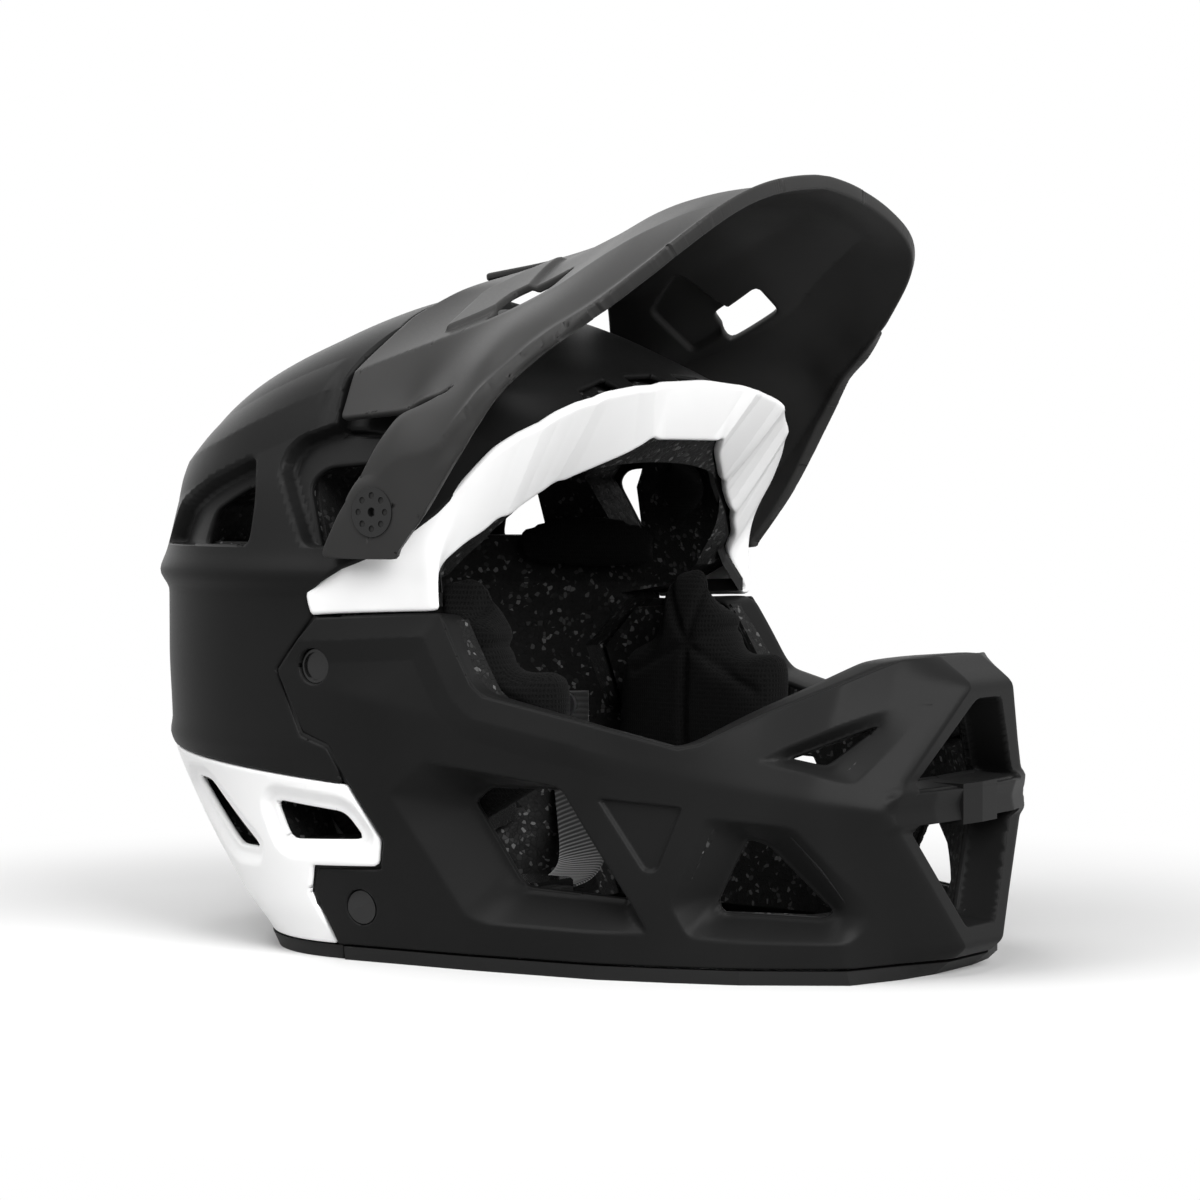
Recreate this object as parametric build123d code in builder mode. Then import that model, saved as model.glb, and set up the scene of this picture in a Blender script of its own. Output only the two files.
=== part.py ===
"""Downhill bike full face helmet, built from its shells, foam, pads, visor and fasteners.

Millimetres, +Z up, the face looks along -Y. The origin is on the floor under the middle of the helmet.
Every outline is a table of shares of half the length of the head that the helmet fits.
"""

import os

from build123d import *

os.makedirs("parts", exist_ok=True)

# Driving sizes
head_length = 200.0
half_head = head_length / 2
shell_wall = 2.6
band_wall = 3.4
foam_thickness = 26.0
pad_thickness = 8.0
cheek_thickness = 24.0
chin_wall = 2.6
chin_depth = 19.0
chin_rim_height = 3.0
part_gap = 0.3
seam_width = 2.4
gasket_sink = 0.8
gasket_depth = 10.0
eye_trim_width = 3.0
eye_trim_height = 5.0
eye_trim_gap = 1.2
trim_height = 5.0
overrun = 20.0

# Visor, its screws and their inserts
visor_wall = 3.0
arm_wall = 4.2
visor_recess = 7.0
step_clearance = 0.9
blind_recess_reach = 20.0
loft_overrun = overrun / 4
screw_head_radius = 9.0
screw_head_height = 3.0
screw_shank_radius = 3.0
screw_shank_length = 14.0
screw_hole_gap = 0.25
screw_fit = 0.05
grip_hole_radius = 1.2
grip_ring_radius = 6.0
grip_hole_depth = 1.8
socket_radius = 1.7
insert_radius = 6.0
insert_length = 7.0
boss_radius = 8.5
boss_depth = 9.0
hub_radius = 10.2
screw_head_sink = 0.6

# Fasteners of the chin bar and their plugs
plug_radius = 6.2
plug_thickness = 1.6
plug_dish = 1.0
plug_rim = 1.0
bolt_head_radius = 4.0
bolt_head_height = 3.0
bolt_shank_radius = 2.0
bolt_shank_length = 7.0
bolt_boss_radius = 8.6
bolt_boss_depth = 14.0
bolt_socket_radius = 1.4

# Chin strap and its buckle
strap_width = 20.0
strap_thickness = 2.0
rivet_radius = 5.0
rivet_height = 1.4
rivet_shank_radius = 2.0
buckle_length = 30.0
buckle_width = 24.0
buckle_height = 8.0
buckle_corner = 4.0
buckle_edge = 1.0
tab_travel = 3.0
tab_out = 5.0
tab_gap = 0.1
tab_length = 14.0
tab_width = 12.0
tab_height = 3.0

# The wearer's sides, from -X to +X
wearer_sides = ("right", "left")

# Where the plan sections are scaled about, in shares of half the head's length
centre_shares = (0.0, 0.51, 1.10)
widest_share = 1.19
chin_centre_share = 0.20
chin_width_share = 1.15
chin_reach_share = 1.90

# Plan sections of the head shell: height, front, rear, half width, middle, fullness in front and behind
head_shares = [
    (-0.90, -0.50, 1.10, 0.96, 0.51, 0.60, 0.60),
    (0.00, -0.50, 1.17, 1.01, 0.51, 0.60, 0.60),
    (0.20, -0.50, 1.33, 1.07, 0.51, 0.60, 0.62),
    (0.43, -0.50, 1.51, 1.115, 0.51, 0.60, 0.64),
    (0.74, -0.50, 1.70, 1.15, 0.51, 0.60, 0.66),
    (0.80, -0.50, 1.725, 1.165, 0.51, 0.60, 0.66),
    (0.86, -0.50, 1.71, 1.17, 0.51, 0.60, 0.66),
    (1.14, -0.55, 1.72, 1.18, 0.51, 0.62, 0.66),
    (1.35, -0.60, 1.72, 1.18, 0.51, 0.68, 0.66),
    (1.43, -0.64, 1.755, 1.21, 0.51, 0.72, 0.66),
    (1.51, -0.68, 1.73, 1.185, 0.51, 0.76, 0.66),
    (1.76, -0.65, 1.67, 1.12, 0.51, 0.80, 0.66),
    (1.91, -0.60, 1.60, 1.065, 0.51, 0.80, 0.64),
    (2.03, -0.56, 1.50, 1.02, 0.50, 0.77, 0.62),
    (2.14, -0.50, 1.35, 0.97, 0.48, 0.68, 0.60),
    (2.23, -0.36, 1.18, 0.895, 0.46, 0.62, 0.58),
    (2.33, -0.16, 0.95, 0.75, 0.43, 0.58, 0.56),
    (2.42, 0.02, 0.78, 0.52, 0.41, 0.56, 0.56),
    (2.48, 0.18, 0.66, 0.28, 0.41, 0.56, 0.56),
    (2.52, 0.32, 0.54, 0.10, 0.42, 0.56, 0.56),
]

# Chin bar, from the rear end to the front corner: bottom, ridge and top of each upright line (x, y, z)
chin_shares = [
    ((1.03, 0.72, 0.0), (1.185, 0.72, 1.08), (1.19, 0.72, 1.40)),
    ((1.03, 0.44, 0.0), (1.19, 0.42, 1.02), (1.19, 0.42, 1.38)),
    ((1.015, 0.20, 0.0), (1.18, 0.24, 0.99), (1.08, -0.03, 1.32)),
    ((1.00, -0.10, 0.0), (1.115, -0.16, 0.91), (1.10, -0.22, 1.03)),
    ((0.94, -0.62, 0.0), (1.02, -0.65, 0.84), (1.00, -0.66, 0.98)),
    ((0.86, -0.88, 0.0), (0.91, -0.95, 0.79), (0.89, -0.955, 0.92)),
    ((0.77, -1.12, 0.0), (0.82, -1.16, 0.73), (0.70, -1.17, 0.97)),
    ((0.56, -1.45, 0.0), (0.71, -1.37, 0.67), (0.52, -1.40, 1.07)),
    ((0.33, -1.53, 0.0), (0.555, -1.56, 0.62), (0.31, -1.52, 1.145)),
]
# The front frame's own corner at the bottom, its lower corner, the apex, its upper corner and the rim
front_shares = [(0.15, -1.56), (0.145, -1.69), (0.535, -1.575), (0.16, -1.72), (0.155, -1.58)]
# How much of the seam's half width lies between the crown and the brow band
band_gap_share = 0.7
# Height, as a share of the seam's top, under which the shells behind it run forward
fore_edge_share = 0.85
# Heights of the cutting planes at the middle of the helmet, and how much they rise towards the rear
chin_level_shares = [(0.0, 0.0), (0.104, 0.0), (0.934, 0.20), (1.395, 0.20), (1.466, 0.20)]
# Side view of the rim, from the brow band's end to the front (y, z)
rim_shares = [
    (0.46, 1.28), (-0.043, 1.305), (-0.195, 1.05), (-0.24, 1.01), (-0.64, 0.92),
    (-0.945, 0.84), (-1.01, 0.855), (-1.19, 0.965), (-1.40, 1.07), (-1.52, 1.15), (-1.58, 1.16),
]

# Side view of the seam between the chin bar and the shells behind it (y, z)
seam_shares = [
    (0.46, 1.28), (0.645, 1.08), (0.54, 0.84), (0.425, 0.80), (0.37, 0.69), (0.225, 0.46),
    (0.245, 0.36), (0.535, 0.35), (0.565, 0.25), (0.45, 0.0),
]
# Side view of the line between the black shell and the white rear shell (y, z)
white_line_shares = [(0.355, 0.662), (1.90, 0.785)]

# Brow band: upper edge and eyeport edge from the side to the middle (x, y, z)
band_shares = [
    ((1.19, 0.48, 1.36), (1.19, 0.46, 1.30)),
    ((1.18, 0.33, 1.46), (1.15, 0.25, 1.31)),
    ((1.15, 0.13, 1.53), (1.08, -0.04, 1.32)),
    ((1.09, -0.04, 1.66), (1.03, 0.01, 1.43)),
    ((1.05, -0.15, 1.77), (0.99, 0.01, 1.49)),
    ((0.99, -0.235, 1.88), (0.955, -0.05, 1.55)),
    ((0.85, -0.34, 1.98), (0.80, -0.13, 1.65)),
    ((0.65, -0.44, 2.07), (0.62, -0.20, 1.76)),
    ((0.37, -0.49, 2.115), (0.34, -0.35, 1.88)),
    ((0.28, -0.495, 2.125), (0.25, -0.42, 1.94)),
]
band_middle_shares = ((0.0, -0.50, 2.14), (0.0, -0.42, 1.94))
# Side view of the foam's edge behind the band (y, z)
foam_edge_shares = [
    (-0.42, 1.94), (-0.35, 1.88), (-0.20, 1.76), (-0.13, 1.65), (-0.05, 1.55), (0.01, 1.49), (0.06, 1.43),
    (0.25, 1.34), (0.46, 1.305),
]

# Side windows: plane origin, direction along the bar, outward normal, recess, opening, depth
windows = {
    "rear": (
        (1.00, -0.35, 0.45), (0.113, 0.994, -0.014), (0.986, -0.114, -0.121),
        [(0.36, 0.33), (0.53, 0.20), (0.25, -0.24), (0.17, -0.27), (-0.48, -0.29), (-0.18, 0.24)],
        [(0.18, 0.21), (0.26, 0.15), (0.09, -0.14), (0.05, -0.17), (-0.38, -0.20), (-0.13, 0.21)],
        0.12,
    ),
    "front": (
        (0.82, -1.05, 0.40), (0.402, 0.913, -0.066), (0.901, -0.408, -0.147),
        [(0.02, 0.20), (-0.29, 0.15), (-0.57, -0.22), (-0.46, -0.29), (0.11, -0.23), (0.17, -0.11)],
        [(-0.11, 0.10), (-0.19, 0.07), (-0.41, -0.19), (-0.37, -0.22), (0.00, -0.18), (0.02, -0.13)],
        0.10,
    ),
    "upper": (
        (0.65, -1.37, 0.86), (0.555, 0.810, 0.190), (0.766, -0.587, 0.262),
        [(0.21, -0.10), (-0.37, 0.27), (-0.41, 0.25), (-0.16, -0.11), (-0.12, -0.12)],
        [(0.10, -0.06), (-0.20, 0.125), (-0.22, 0.115), (-0.06, -0.06), (-0.04, -0.065)],
        0.08,
    ),
}
blind_recess_shares = [(-0.31, 0.21), (-0.63, 0.17), (-0.52, -0.07), (-0.47, -0.07)]
blind_depth = 1.6

# Front grille: half outlines of the openings above and below the cross bar (x, z)
grille_upper_shares = [(0.095, 1.00), (0.40, 0.675)]
grille_lower_shares = [(0.40, 0.565), (0.11, 0.17)]
grille_depth = 16.0
# Cross bar of the grille in plan (x, y), and the clip round its middle
cross_bar_shares = [(0.0, -1.66), (0.30, -1.64), (0.50, -1.585), (0.50, -1.50), (0.0, -1.56)]
clip_width = 26.0
clip_wall = 1.8
clip_slot = 7.0

# Side vents of the crown in side view: recess and opening (y, z)
middle_vent_shares = (
    [(0.52, 1.53), (0.71, 1.84), (0.66, 1.94), (0.46, 2.00), (0.16, 1.97), (0.31, 1.78), (0.33, 1.53)],
    [(0.48, 1.545), (0.59, 1.79), (0.53, 1.85), (0.26, 1.87), (0.34, 1.75), (0.36, 1.545)],
)
rear_vent_shares = (
    [(0.785, 1.53), (0.79, 1.72), (0.84, 1.885), (1.12, 1.79), (1.36, 1.69), (1.46, 1.53)],
    [(0.82, 1.545), (0.82, 1.78), (0.90, 1.785), (1.14, 1.68), (1.18, 1.545)],
)
vent_recess = 7.0
# Windows of the white rear shell in side view (y, z)
white_vent_shares = [
    [(1.27, 0.63), (1.13, 0.63), (0.83, 0.39), (1.00, 0.385)],
    [(0.72, 0.585), (0.38, 0.555), (0.30, 0.455), (0.66, 0.437)],
]
# Forehead louvres seen from the front (x, z)
forehead_vent_shares = [
    [(0.06, 2.17), (0.30, 2.165), (0.27, 2.23), (0.06, 2.24)],
    [(0.38, 2.15), (0.62, 2.10), (0.58, 2.17), (0.38, 2.22)],
]
# Top vents seen from above (x, y)
top_vent_shares = [[(0.10, 0.62), (0.26, 0.62), (0.32, 0.95), (0.12, 1.02)]]

# Line in side view behind which the crown is at full level (y, z)
step_shares = [(0.47, 1.97), (0.49, 2.16), (0.43, 2.36), (0.55, 2.50), (0.55, 3.00)]
# Height at the far front of the shelf that runs forward from the foot of that line
shelf_share = 1.80

# Visor roof, sections from the rear to the front: y, then edge, crease, shoulder and top (x, z)
roof_shares = [
    (0.45, [(1.03, 1.99), (0.955, 2.15), (0.55, 2.45), (0.20, 2.55)]),
    (0.10, [(1.05, 2.02), (0.885, 2.27), (0.45, 2.51), (0.15, 2.60)]),
    (-0.13, [(1.09, 2.10), (0.86, 2.34), (0.45, 2.56), (0.15, 2.65)]),
    (-0.38, [(1.14, 2.13), (0.82, 2.45), (0.42, 2.66), (0.12, 2.73)]),
    (-0.55, [(1.055, 2.26), (0.74, 2.57), (0.40, 2.74), (0.12, 2.79)]),
    (-0.70, [(0.985, 2.385), (0.68, 2.66), (0.38, 2.79), (0.12, 2.835)]),
    (-0.85, [(0.885, 2.52), (0.60, 2.745), (0.34, 2.84), (0.12, 2.87)]),
    (-1.00, [(0.76, 2.66), (0.52, 2.80), (0.30, 2.88), (0.12, 2.905)]),
    (-1.10, [(0.70, 2.73), (0.48, 2.84), (0.28, 2.90), (0.12, 2.92)]),
]
# Plan of the brim's front edge (x, y)
brim_shares = [(0.93, -0.80), (0.84, -0.90), (0.76, -0.962), (0.60, -0.99), (0.30, -1.01), (0.0, -1.02)]
# Visor arm, sections going up: height, then rear edge, outer crease and front edge (x, y)
arm_shares = [
    (1.525, [(1.225, 0.375), (1.245, 0.19), (1.215, 0.04)]),
    (1.66, [(1.225, 0.30), (1.245, 0.08), (1.22, -0.08)]),
    (1.76, [(1.215, 0.225), (1.235, -0.025), (1.22, -0.15)]),
    (1.90, [(1.175, 0.145), (1.215, -0.15), (1.20, -0.235)]),
    (2.00, [(1.135, 0.07), (1.19, -0.24), (1.18, -0.30)]),
    (2.10, [(1.095, -0.12), (1.16, -0.33), (1.15, -0.375)]),
    (2.20, [(1.03, -0.20), (1.10, -0.43), (1.09, -0.47)]),
]
# Slots through the visor and the gap between its wings, seen from above (x, y)
visor_slot_shares = [(0.84, -0.08), (0.68, -0.10), (0.62, -0.34), (0.79, -0.34)]
wing_gap_shares = [(0.62, 0.60), (0.60, 0.40), (0.17, 0.02), (0.17, 0.60)]
axis_shares = (0.14, 1.666)

# Routes of the pads along the inside of the foam: turn and height.
# Turn 0 is the front, 1 the side, 2 the rear
brow_route = [(0.0, 1.985), (0.25, 1.96), (0.50, 1.86), (0.66, 1.76), (0.80, 1.66)]
temple_route = [(0.86, 1.50), (0.98, 1.52), (1.12, 1.52), (1.28, 1.50)]
occipital_route = [(1.34, 1.12), (1.50, 1.15), (1.75, 1.17), (2.0, 1.18)]
neck_route = [(1.36, 0.46), (1.55, 0.42), (1.78, 0.40), (2.0, 0.40)]
crown_front_route = [(0.0, 2.07), (0.0, 2.095)]
crown_rear_route = [(2.0, 2.09), (2.0, 2.05), (2.0, 1.98), (2.0, 1.90)]
brow_height = 24.0
temple_height = 26.0
occipital_height = 30.0
neck_height = 30.0
crown_width = 46.0
pad_end_share = 0.6
pad_gap = 1.2
close_pad_gap = 0.4
brow_pad_gap = 0.0
rise_step = 0.02

# Cheek pad: outline in side view about its middle, and how its outline draws in through its thickness
cheek_pad_shares = [
    (0.40, -0.33), (0.44, 0.27), (0.16, 0.38), (-0.14, 0.22), (-0.42, 0.06), (-0.46, -0.34), (-0.19, -0.35),
    (-0.20, -0.56), (-0.02, -0.72), (0.18, -0.66), (0.20, -0.42),
]
cheek_place = (0.91, 0.02, 0.76)
cheek_normal = (-0.996, 0.09, 0.0)
pillow_shares = [(0.0, 0.90), (0.25, 1.0), (0.70, 0.97), (1.0, 0.80)]

# Chin bar's bolts under their plugs: a place on the outer face (x, y, z)
bolt_places = {"upper": (1.187, 0.46, 1.098), "lower": (1.058, 0.342, 0.204)}

# Chin strap from its anchor to the buckle (x, y, z)
strap_route = [
    (0.818, 0.70, 0.90), (0.807, 0.69, 0.72), (0.73, 0.60, 0.46), (0.50, 0.42, 0.23), (0.155, 0.32, 0.17)
]
anchor_share = (0.815, 0.70, 0.84)
anchor_length = 20.0

visor_axis = (axis_shares[0] * half_head, axis_shares[1] * half_head)
front_end = min(y for _, y in front_shares)
rear_end = max(rear for _, _, rear, *_ in head_shares)
middle_y = (front_end + rear_end) / 2 * half_head
centre_y = centre_shares[1] * half_head
centre_z = centre_shares[2] * half_head
form_half_width = widest_share * half_head
foam_outer = shell_wall + part_gap
foam_inner = foam_outer + foam_thickness
arm_outer = arm_shares[1][1][0][0] * half_head


def sized(points):
    """Points of a table of shares, in millimetres."""
    return [tuple(value * half_head for value in point) for point in points]


def head_form(inset):
    """Head shell's outer shape drawn in by the inset, scaled about the middle of the head."""
    shrink = 1 - inset / form_half_width
    with BuildPart() as form:
        for level, *plan, fore, aft in head_shares:
            front, rear, half, middle = (value * half_head for value in plan)
            front, rear, middle = (centre_y + (value - centre_y) * shrink for value in (front, rear, middle))
            half *= shrink
            height = centre_z + (level * half_head - centre_z) * shrink
            with BuildSketch(Plane.XY.offset(height)):
                with BuildLine():
                    for side in (half, -half):
                        for end, fullness in ((front, fore), (rear, aft)):
                            Bezier(
                                (0, end), (fullness * side, end),
                                (side, middle + fullness * (end - middle)), (side, middle),
                            )
                make_face()
        loft(ruled=True)
    return form.part


def chin_form(inset):
    """Chin bar's outer shape drawn in by the inset, cut by five planes that rise to the rear."""
    narrow = 1 - inset / (chin_width_share * half_head)
    short = 1 - inset / (chin_reach_share * half_head)
    with BuildPart() as form:
        for index, (level, rise) in enumerate(chin_level_shares):
            plan = []
            for bottom, ridge, top in chin_shares:
                low, high = (bottom, ridge) if index < 3 else (ridge, top)
                step = [b - a for a, b in zip(low, high)]
                along = (level + rise * low[1] - low[2]) / (step[2] - rise * step[1])
                if index == 2:
                    along = 1.0
                plan.append((low[0] + along * step[0], low[1] + along * step[1]))
            plan.append(front_shares[index])
            half = [
                (x * narrow, chin_centre_share + (y - chin_centre_share) * short) for x, y in plan
            ]
            tilt = Plane(origin=(0, 0, level * half_head), x_dir=(1, 0, 0), z_dir=(0, -rise, 1))
            lean = (1 + rise**2) ** 0.5
            outline = [(x * half_head, y * half_head * lean) for x, y in half]
            with BuildSketch(tilt):
                with BuildLine():
                    Polyline(*outline, *[(-x, y) for x, y in reversed(outline)], close=True)
                make_face()
        loft(ruled=True)
    return form.part


def prism(points, plane=Plane.YZ, reach=head_length, both=True, grow=0.0):
    """Straight prism on an outline given in millimetres, which can be grown all round."""
    with BuildPart() as block:
        with BuildSketch(plane):
            with BuildLine():
                Polyline(*points, close=True)
            make_face()
            if grow:
                offset(amount=grow, kind=Kind.INTERSECTION)
        extrude(amount=reach, both=both)
    return block.part


def both_sides(piece):
    """The piece and its mirror image."""
    with BuildPart() as pair:
        add(piece)
        mirror(about=Plane.YZ)
    return pair.part


def joined(keep, cut=(), trim=()):
    """One piece kept, with others cut from it, and trimmed to others."""
    with BuildPart() as result:
        add(keep)
        for other in trim:
            add(other, mode=Mode.INTERSECT)
        for other in cut:
            add(other, mode=Mode.SUBTRACT)
    return result.part


def largest(piece):
    """The piece's largest solid, without crumbs."""
    return piece.solids().sort_by(SortBy.VOLUME)[-1]


def save(piece, name):
    """Write a finished piece's file, moved so that the origin is midway between front and rear."""
    piece = piece.moved(Location((0, -middle_y, 0)))
    piece.label = name
    export_step(piece, f"parts/{name}.step")
    print(name, round(piece.volume), len(piece.solids()))


def window_cut(name, grow=0.0, through=True):
    """Tapered cut of a side window, from its recess to its opening, and on through the foam."""
    origin, along, normal, recess, opening, depth = windows[name]
    plane = Plane(origin=[v * half_head for v in origin], x_dir=along, z_dir=normal)
    with BuildPart() as cut:
        with BuildSketch(plane.offset(loft_overrun)):
            with BuildLine():
                Polyline(*sized(recess), close=True)
            make_face()
            if grow:
                offset(amount=grow, kind=Kind.INTERSECTION)
        with BuildSketch(plane.offset(-depth * half_head)):
            with BuildLine():
                Polyline(*sized(opening), close=True)
            make_face()
            if grow:
                offset(amount=grow, kind=Kind.INTERSECTION)
        loft(ruled=True)
        if through:
            with BuildSketch(plane.offset(-depth * half_head)):
                with BuildLine():
                    Polyline(*sized(opening), close=True)
                make_face()
            extrude(amount=-2 * chin_depth)
    return cut.part


# Nested forms of the head shell and the chin bar
outer_form = head_form(0)
inner_form = head_form(shell_wall)
recess_outer = head_form(visor_recess)
recess_inner = head_form(visor_recess + shell_wall)
foam_form = head_form(foam_outer)
foam_sunk_form = head_form(visor_recess + foam_outer)
cavity_form = head_form(foam_inner)
chin_outer = chin_form(0)
chin_inner = chin_form(chin_wall)
chin_foam_form = chin_form(chin_wall + part_gap)
chin_cavity = chin_form(chin_depth)

# Side regions
far = head_length
seam = sized(seam_shares)
rim = sized(rim_shares)
white_line = sized(white_line_shares)
brow_line = [(y * half_head, z * half_head) for (_, y, z), _ in band_shares]
brow_top = (band_middle_shares[0][1] * half_head, band_middle_shares[0][2] * half_head)
top_height = head_length + half_head
half_seam = seam_width / 2
band_gap = half_seam * band_gap_share
seam_low = seam[-1][0]
seam_high = seam[0][1]
white_slope = (white_line[1][1] - white_line[0][1]) / (white_line[1][0] - white_line[0][0])
white_level = white_line[0][1] - white_slope * white_line[0][0]

ahead_of_seam = prism(
    [(seam[0][0], top_height), *seam, (seam_low, -far), (-far, -far), (-far, top_height)], grow=-half_seam
)
behind_seam = prism(
    [*seam, (seam_low, -far), (far, -far), (far, top_height), (-far, top_height), (-far, seam_high)],
    grow=-half_seam,
)


def upper_zone(edge, shift_y, shift_z):
    """Everything above the white shell and behind a line of the brow, moved off it."""
    return prism(
        [(y + shift_y, z + shift_z) for y, z in edge]
        + [(seam[0][0] + half_seam, seam_high), (0, fore_edge_share * seam_high)]
        + [(0, white_level + half_seam)]
        + [(far, white_level + white_slope * far + half_seam), (far, top_height), (edge[0][0], top_height)]
    )


def below_rim(drop):
    """Everything under the chin bar's rim, less a drop."""
    line = [(y, z - drop) for y, z in rim]
    return prism([(far, line[0][1]), *line, (-far, line[-1][1]), (-far, -far), (far, -far)])


upper_region = joined(upper_zone([brow_top, *reversed(brow_line)], band_gap, band_gap), trim=[behind_seam])
white_zone = prism([
    (0, white_level - part_gap), (far, white_level + white_slope * far - part_gap), (far, -far), (0, -far)
])
white_region = joined(white_zone, trim=[behind_seam])
chin_region = joined(ahead_of_seam, trim=[below_rim(0)])
above_trim = prism(
    [(-far, trim_height + part_gap), (-far, top_height), (far, top_height), (far, trim_height + part_gap)]
)

# Visor recess of the crown: everything ahead of the step, above the shelf
step = sized(step_shares)
shelf_front = shelf_share * half_head
recess_region = prism([(-far, shelf_front), *step, (-far, step[-1][1])])
step_wall = prism([(y + shell_wall, z) for y, z in step] + [(y, z) for y, z in reversed(step)])
below_step = prism([
    (step[0][0] + shell_wall, step[0][1]), step[0], (-far, shelf_front),
    (-far, shelf_front - shell_wall), (step[0][0], step[0][1] - shell_wall),
])

side_openings = [prism(sized(middle_vent_shares[1])), prism(sized(rear_vent_shares[1]))]
vent_recesses = [middle_vent_shares[0], rear_vent_shares[0]]
vent_floor_outer = head_form(vent_recess)
vent_floor_inner = head_form(vent_recess + shell_wall)
white_openings = [prism(sized(shares)) for shares in white_vent_shares]
front_openings = [
    both_sides(prism(sized(shares), Plane.XZ, far, both=False))
    for shares in forehead_vent_shares
]
top_openings = [
    both_sides(prism(sized(shares), Plane.XY, top_height, both=False)) for shares in top_vent_shares
]


# Visor axis: boss on the crown, insert in it, arm over it, screw through the arm
def across(radius, start, end, y=visor_axis[0], z=visor_axis[1]):
    """Round bar along X between two distances from the middle, at a place in side view."""
    with BuildPart() as bar:
        with BuildSketch(Plane(origin=(start, y, z), z_dir=(1, 0, 0))):
            Circle(radius)
        extrude(amount=end - start)
    return bar.part


boss_face = arm_outer - arm_wall - 2 * part_gap
boss = both_sides(across(boss_radius, boss_face - boss_depth, boss_face))
insert_start = boss_face - insert_length
insert_hole = both_sides(across(insert_radius + screw_fit, insert_start, boss_face + overrun))
insert_seat = both_sides(across(screw_shank_radius + screw_hole_gap, insert_start - overrun, boss_face))


def band_loft(inner, outer):
    """Loft along the brow band between two depths behind its face."""
    near = [sized(pair) for pair in band_shares]
    middle = [sized(band_middle_shares)]
    other = [[(-x, y, z) for x, y, z in pair] for pair in reversed(near)]
    sections = []
    for upper, lower in near + middle + other:
        aim = Vector(-(upper[0] + lower[0]) / 2, centre_y - (upper[1] + lower[1]) / 2, 0).normalized()
        corners = [Vector(upper) + aim * outer, Vector(upper) + aim * inner,
                   Vector(lower) + aim * inner, Vector(lower) + aim * outer]
        sections.append(Face(Wire.make_polygon(corners)))
    with BuildPart() as band:
        loft(sections, ruled=True)
    return band.part


band_room = band_loft(band_wall + part_gap, -half_head)

# Crown shell
crown_skin = joined(outer_form, cut=[inner_form, recess_region])
crown_sunk = joined(recess_outer, cut=[recess_inner], trim=[recess_region])
crown_step = joined(outer_form, cut=[recess_inner], trim=[step_wall])
crown_ledge = joined(outer_form, cut=[recess_inner], trim=[below_step])
with BuildPart() as crown_solid:
    add(outer_form)
    add(recess_region, mode=Mode.SUBTRACT)
    add(joined(recess_outer, trim=[recess_region]))
with BuildPart() as crown:
    add(crown_skin)
    add(crown_sunk)
    add(crown_step)
    add(crown_ledge)
    for shares in vent_recesses:
        add(joined(crown_solid.part, cut=[vent_floor_inner], trim=[prism(sized(shares), grow=shell_wall)]))
        add(joined(prism(sized(shares)), cut=[vent_floor_outer]), mode=Mode.SUBTRACT)
    add(upper_region, mode=Mode.INTERSECT)
    add(band_room, mode=Mode.SUBTRACT)
    for opening in side_openings + front_openings + top_openings:
        add(opening, mode=Mode.SUBTRACT)
    add(boss)
    add(insert_hole, mode=Mode.SUBTRACT)
    add(insert_seat, mode=Mode.SUBTRACT)
save(largest(crown.part), "crown_shell")

# White rear shell
rear_shell = joined(outer_form, cut=[inner_form, *white_openings], trim=[white_region, above_trim])
save(largest(rear_shell), "rear_shell")


# White brow band
save(band_loft(band_wall, 0), "brow_band")

# Chin bar
rim_lip = prism(rim + [(y, z - chin_rim_height) for y, z in reversed(rim)])
grille_cuts = [
    prism(sized(shares) + [(-x, z) for x, z in reversed(sized(shares))], Plane.XZ, far, both=False)
    for shares in (grille_upper_shares, grille_lower_shares)
]
frame_back = front_shares[3][1] * half_head + grille_depth
frame_zone = prism([(-far, 0), (-far, top_height), (frame_back, top_height), (frame_back, 0)])
ring_half = sized([*grille_upper_shares[:2], *grille_lower_shares[:2]])
ring = ring_half + [(-x, z) for x, z in reversed(ring_half)]
grille_lining = prism(ring, Plane.XZ, far, both=False, grow=chin_wall)
bar_low = grille_lower_shares[0][1] * half_head
bar_high = grille_upper_shares[1][1] * half_head


def cross_bar(grow=0.0):
    """Bar across the grille, grown all round when it makes a clip or the room for one."""
    half = sized(cross_bar_shares)
    outline = half + [(-x, y) for x, y in half[-2:0:-1]]
    with BuildPart() as bar:
        with BuildSketch(Plane.XY.offset(bar_low - grow)):
            with BuildLine():
                Polyline(*outline, close=True)
            make_face()
            if grow:
                offset(amount=grow, kind=Kind.INTERSECTION)
        extrude(amount=bar_high - bar_low + 2 * grow)
    return bar.part


blind_plane = Plane(
    origin=[v * half_head for v in windows["rear"][0]], x_dir=windows["rear"][1], z_dir=windows["rear"][2]
)
blind = joined(
    both_sides(prism(sized(blind_recess_shares), blind_plane, blind_recess_reach)),
    cut=[chin_form(blind_depth)],
)


def bolt_bar(name, radius, start, end):
    """Round bars on both sides at a bolt's place, between two depths under the outer face."""
    x, y, z = (value * half_head for value in bolt_places[name])
    return both_sides(across(radius, x - end, x - start, y, z))


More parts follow.
